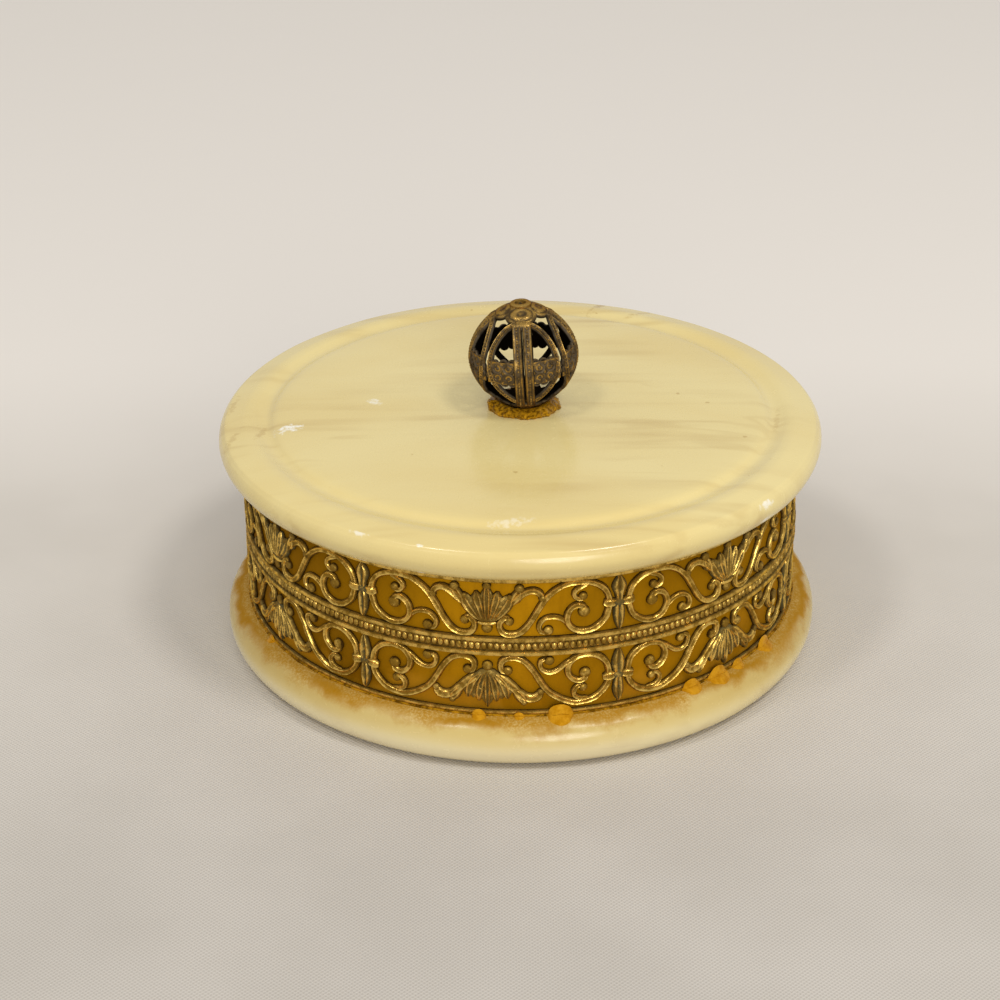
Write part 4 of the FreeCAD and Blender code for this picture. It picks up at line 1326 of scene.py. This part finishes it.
class TRINKETBOX_OT_strip(bpy.types.Operator):
    """Stamp the scrollwork and the beaded rails, and wrap them round the drum."""

    bl_idname = "trinketbox.strip"
    bl_label = "Gilt scroll strip"

    def execute(self, context):
        sizes = context.scene.trinket_box_sizes
        material = worn_gilt(context.scene.trinket_box_finishes)
        round_drum = {
            "Pattern radius": sizes.strip_reference,
            "Turn": STRIP_TURN,
            "Back radius": sizes.strip_inner,
            "Mid height": BAND_MIDDLE * MM,
        }
        repeat = 2 * HALF_REPEAT * MM
        scrolls = draw_motif().object("strip_scrolls")
        row = {"Repeats": STRIP_REPEATS, "Repeat length": repeat}
        run_tree(scrolls, scroll_tree(material), {**row, **round_drum})
        rails = draw_rails().object("strip_rails")
        beads = {
            "Beads": STRIP_REPEATS * BEADS_PER_REPEAT,
            "Bead pitch": repeat / BEADS_PER_REPEAT,
            "Bead radius": sizes.strip_bead,
            "Bead height": BEAD_BED[2] * MM,
        }
        run_tree(rails, rail_tree(material), {**beads, **round_drum})
        for piece in (scrolls, rails):
            dress(piece, "box", "gilt_filigree", "filigree_band")
        return {"FINISHED"}


class TRINKETBOX_OT_seat_cement(bpy.types.Operator):
    """Lay the bed of cement under the drum and the drops that were squeezed out."""

    bl_idname = "trinketbox.seat_cement"
    bl_label = "Seat cement"

    def stone_height(self, sizes, radius):
        """The height of the base's surface at a radius."""
        rounding = sizes.base_round / MM
        past = radius - (sizes.stone_radius / MM - rounding)
        if past <= 0:
            return BASE_TOP
        return BASE_TOP - rounding + math.sqrt(max(0.0, rounding ** 2 - past ** 2))

    def draw_drop(self, shape, sizes, angle, share):
        """A soft pad of cement over the strip's foot and down over the stone."""
        against = sizes.strip_outer / MM
        turn = math.radians(angle)
        out = Vector((math.sin(turn), -math.cos(turn), 0.0))
        side = Vector((math.cos(turn), math.sin(turn), 0.0))
        width = sizes.drop_width / MM / 2 * share
        length = sizes.drop_length / MM / 2 * share

        def place(across, along, rise):
            rough = noise.noise(Vector((across, along, angle)) * DROP_ROUGH_RATE)
            across *= 1 + DROP_ROUGHNESS * rough
            down = max(0.0, -along)
            lean = math.pi / 4 * (1 - max(-1.0, min(1.0, along / DROP_BLEND)))
            fill = rise * (1 + DROP_FILL * math.exp(-(along / DROP_BLEND) ** 2))
            radius = against + down + fill * math.cos(lean)
            height = self.stone_height(sizes, against + down) + max(0.0, along) + fill * math.sin(lean)
            return out * radius + side * across + Vector((0, 0, height - DROP_SINK))

        boss(shape, place, PAD, DROP_SEGMENTS, (width, length), sizes.drop_depth / MM * share)

    def execute(self, context):
        sizes = context.scene.trinket_box_sizes
        finishes = context.scene.trinket_box_finishes
        inner = sizes.sleeve_inner / MM
        outer = sizes.strip_outer / MM

        def ragged(radius, _, angle):
            if radius == inner:
                return 0.0, 0.0
            around = Vector((math.sin(angle), math.cos(angle), 0.0))
            lump = noise.noise(around * BED_LUMP_RATE + Vector((0, 0, SEED)))
            return BED_LUMP * max(0.0, lump) + BED_PAST, 0.0

        ring = Shape()
        edge_in, edge_down = BED_EDGE
        outline = [
            (inner, BASE_TOP), (outer, BASE_TOP), (outer, DRUM_FOOT - edge_down),
            (outer - edge_in, DRUM_FOOT), (inner, DRUM_FOOT),
        ]
        lathe(ring, outline, ragged)
        bed = ring.object("cement_bed")
        dirty = amber_cement(
            "bed_cement", finishes.collar_light, finishes.collar_dark, roughness=0.6, lumps=0.5)
        bed.data.materials.append(dirty)
        dress(bed, "box", "amber_cement", "seat_cement_ring")
        drops = Shape()
        for angle, share in DROPS:
            self.draw_drop(drops, sizes, angle, share)
        squeezed = drops.object("cement_drops")
        clear = amber_cement(
            "drop_cement", finishes.cement_light, finishes.cement_dark, roughness=0.28, lumps=0.15)
        squeezed.data.materials.append(clear)
        dress(squeezed, "box", "amber_cement", "seat_cement_drops")
        return {"FINISHED"}


class TRINKETBOX_OT_lid(bpy.types.Operator):
    """Turn the stone lid with its groove, raised middle and spigot."""

    bl_idname = "trinketbox.lid"
    bl_label = "Stone lid"

    def execute(self, context):
        sizes = context.scene.trinket_box_sizes
        radius = sizes.stone_radius / MM
        spigot = sizes.spigot_radius / MM
        panel = sizes.panel_radius / MM
        top = LID_SEAT + sizes.lid_rim / MM
        outline = flat_face(SPIGOT_FOOT) + [(spigot - SPIGOT_EDGE, SPIGOT_FOOT)]
        outline += [(spigot, SPIGOT_FOOT + SPIGOT_EDGE), (spigot, LID_SEAT)]
        edge = [(radius + out, LID_SEAT + up, 0.0) for out, up in LID_SIDE]
        edge += [(radius + out, top + up, 0.0) for out, up in LID_LAND]
        edge += [(panel + out, top + up, 0.0) for out, up in LID_GROOVE]
        outline += [(across, up) for across, up, _ in smooth(edge, LID_STEP)]
        crown = LID_TOP - (top + CROWN_FOOT)
        outline += [(panel * share, LID_TOP - crown * share ** 2) for share in CROWN_RINGS]
        outline.append((0, LID_TOP))
        shape = Shape()

        def level(radius_at, height, angle):
            return stone_wobble(radius_at, height, angle) if height > LID_SEAT + LEVEL_SEAT else (0.0, 0.0)

        lathe(shape, outline, level)
        piece = shape.object("stone_lid")
        finishes = context.scene.trinket_box_finishes
        piece.data.materials.append(alabaster("alabaster_lid", finishes, lid_marks))
        dress(piece, "lid", "alabaster", "lid_disc")
        return {"FINISHED"}


class TRINKETBOX_OT_knob(bpy.types.Operator):
    """Build the two halves of the openwork ball."""

    bl_idname = "trinketbox.knob"
    bl_label = "Openwork knob"

    def execute(self, context):
        sizes = context.scene.trinket_box_sizes
        material = dark_bronze(context.scene.trinket_box_finishes)
        tree = ball_tree(material)
        values = {
            "Units": KNOB_UNITS,
            "Tilt": sizes.knob_tilt,
            "Lean": sizes.knob_lean,
            "Shift": sizes.knob_shift,
            "Centre height": CEMENT_FOOT * MM + sizes.knob_bed + sizes.knob_radius,
        }
        halves = (("knob_crown", True, "knob_upper_shell"), ("knob_cup", False, "knob_lower_shell"))
        for name, upper, node in halves:
            half = draw_ball_unit(sizes, upper).object(name)
            run_tree(half, tree, values)
            if upper:
                ring = Shape()
                draw_ball_ring(ring, sizes)
                band = ring.object("knob_ring")
                lean = Euler((sizes.knob_tilt, sizes.knob_lean, 0)).to_matrix().to_4x4()
                band.data.transform(Matrix.Translation((values["Shift"], 0, values["Centre height"])) @ lean)
                band.data.materials.append(material)
                dress(band, "lid", "bronze_filigree", node)
            dress(half, "lid", "bronze_filigree", node)
        return {"FINISHED"}


class TRINKETBOX_OT_knob_cement(bpy.types.Operator):
    """Squeeze the lumpy collar of cement round the foot of the ball."""

    bl_idname = "trinketbox.knob_cement"
    bl_label = "Knob cement"

    def lump(self, angle, rate):
        return noise.noise(Vector((math.sin(angle) * rate, math.cos(angle) * rate, SEED + rate)))

    def execute(self, context):
        sizes = context.scene.trinket_box_sizes
        foot = sizes.cement_radius / MM
        ball = sizes.knob_radius / MM
        middle = CEMENT_FOOT + sizes.knob_bed / MM + ball
        top = CEMENT_TOP - COLLAR_SINK
        outline = [(0, CEMENT_FOOT)]
        outline += [(foot + out, CEMENT_FOOT + up) for out, up in COLLAR_SIDE]
        outline += [(foot + out, top + up) for out, up in COLLAR_SHOULDER]
        for height in [top - depth for depth in COLLAR_DEPTHS]:
            outline.append((math.sqrt((ball - COLLAR_OVERLAP) ** 2 - (middle - height) ** 2), height))
        outline.append((0, middle - ball + COLLAR_OVERLAP))

        def lumps(radius, height, angle):
            share = min(1.0, max(0.0, (radius - LUMP_BEGIN) / LUMP_BLEND))
            reach = sum(size * self.lump(angle, rate) for size, rate in LUMPS_OUT) - LUMP_SHRINK
            if height == CEMENT_FOOT:
                return share * reach, 0.0
            (size, rate), (fine_size, fine_rate) = LUMPS_UP
            rise = size * self.lump(angle, rate) + fine_size * self.lump(angle + height, fine_rate)
            turned = (angle - LOBE_ANGLE + math.pi) % (2 * math.pi) - math.pi
            rise += LOBE_RISE * math.exp(-(turned / LOBE_WIDTH) ** 2)
            return share * reach, share * max(-LUMP_SAG, rise)

        shape = Shape()
        lathe(shape, outline, lumps, turns=COLLAR_TURNS)
        for point in shape.points:
            point.x += sizes.knob_shift / MM
        piece = shape.object("knob_collar")
        finishes = context.scene.trinket_box_finishes
        glossy = amber_cement(
            "collar_cement", finishes.collar_light, finishes.collar_dark,
            roughness=0.18, lumps=0.7, scale=1.5)
        piece.data.materials.append(glossy)
        dress(piece, "lid", "amber_cement", "knob_cement")
        return {"FINISHED"}


class TRINKETBOX_OT_stage(bpy.types.Operator):
    """Lay the pale cloth and set the lamps and the camera."""

    bl_idname = "trinketbox.stage"
    bl_label = "Stage"

    def lay_cloth(self, scene):
        mesh = bpy.data.meshes.new("cloth")
        corners = [(-1, -1), (1, -1), (1, 1), (-1, 1)]
        mesh.from_pydata([(x * CLOTH_REACH, y * CLOTH_REACH, 0) for x, y in corners], [], [(0, 1, 2, 3)])
        cloth = bpy.data.objects.new("cloth", mesh)
        scene.collection.objects.link(cloth)
        mesh.materials.append(pale_cloth(scene.trinket_box_finishes))

    def light_room(self, scene):
        world = bpy.data.worlds.new("soft_room")
        world.use_nodes = True
        tree = world.node_tree
        seen = add_node(tree, "ShaderNodeLightPath").outputs["Is Camera Ray"]
        paint(tree, tree.nodes["Background"], {
            "Color": mix(tree, seen, ROOM_TINT, scene.trinket_box_finishes.cloth_far),
            "Strength": ramp(tree, seen, 0.0, 1.0, ROOM_LIGHT, ROOM_SEEN),
        })
        scene.world = world

    def set_lamp(self, scene, name, place, width, power):
        light = bpy.data.lights.new(name, "AREA")
        light.shape = "DISK"
        light.size = width
        light.energy = power
        light.color = LAMP_TINT
        lamp = bpy.data.objects.new(name, light)
        lamp.location = place
        lamp.rotation_euler = (Vector(LAMP_AIM) - Vector(place)).to_track_quat("-Z", "Y").to_euler()
        scene.collection.objects.link(lamp)

    def set_camera(self, scene):
        camera = bpy.data.cameras.new("camera")
        camera.sensor_fit = "HORIZONTAL"
        camera.sensor_width = SENSOR
        camera.lens = LENS
        camera.clip_start = CLIP_START
        eye = bpy.data.objects.new("camera", camera)
        back = Vector((0, -math.cos(VIEW_ELEVATION), math.sin(VIEW_ELEVATION)))
        right = Vector((1, 0, 0))
        up = back.cross(right)
        level_right = right * math.cos(VIEW_ROLL) - up * math.sin(VIEW_ROLL)
        level_up = right * math.sin(VIEW_ROLL) + up * math.cos(VIEW_ROLL)
        place = (Vector(VIEW_TARGET) + back * VIEW_DISTANCE) * MM
        turn = Matrix((level_right, level_up, back)).transposed().to_4x4()
        eye.matrix_world = Matrix.Translation(place) @ turn
        scene.collection.objects.link(eye)
        scene.camera = eye

    def execute(self, context):
        scene = context.scene
        self.lay_cloth(scene)
        self.light_room(scene)
        for lamp in LAMPS:
            self.set_lamp(scene, *lamp)
        self.set_camera(scene)
        scene.view_settings.view_transform = "Standard"
        return {"FINISHED"}


OPERATORS = (
    TRINKETBOX_OT_base,
    TRINKETBOX_OT_drum,
    TRINKETBOX_OT_strip,
    TRINKETBOX_OT_seat_cement,
    TRINKETBOX_OT_lid,
    TRINKETBOX_OT_knob,
    TRINKETBOX_OT_knob_cement,
    TRINKETBOX_OT_stage,
)


class TRINKETBOX_PT_panel(bpy.types.Panel):
    """The trinket box's pieces, sizes and finishes."""

    bl_idname = "TRINKETBOX_PT_panel"
    bl_label = "Trinket box"
    bl_space_type = "VIEW_3D"
    bl_region_type = "UI"
    bl_category = "Trinket box"

    def draw(self, context):
        for operator in OPERATORS:
            self.layout.operator(operator.bl_idname)
        for group in (context.scene.trinket_box_sizes, context.scene.trinket_box_finishes):
            column = self.layout.column()
            for name in group.__annotations__:
                column.prop(group, name)


CLASSES = (TrinketBoxSizes, TrinketBoxFinishes, *OPERATORS, TRINKETBOX_PT_panel)


def register():
    for kind in CLASSES:
        bpy.utils.register_class(kind)
    bpy.types.Scene.trinket_box_sizes = bpy.props.PointerProperty(type=TrinketBoxSizes)
    bpy.types.Scene.trinket_box_finishes = bpy.props.PointerProperty(type=TrinketBoxFinishes)


def unregister():
    del bpy.types.Scene.trinket_box_finishes
    del bpy.types.Scene.trinket_box_sizes
    for kind in reversed(CLASSES):
        bpy.utils.unregister_class(kind)


def main():
    register()
    for operator in OPERATORS:
        group, name = operator.bl_idname.split(".")
        getattr(getattr(bpy.ops, group), name)()


if __name__ == "__main__":
    main()
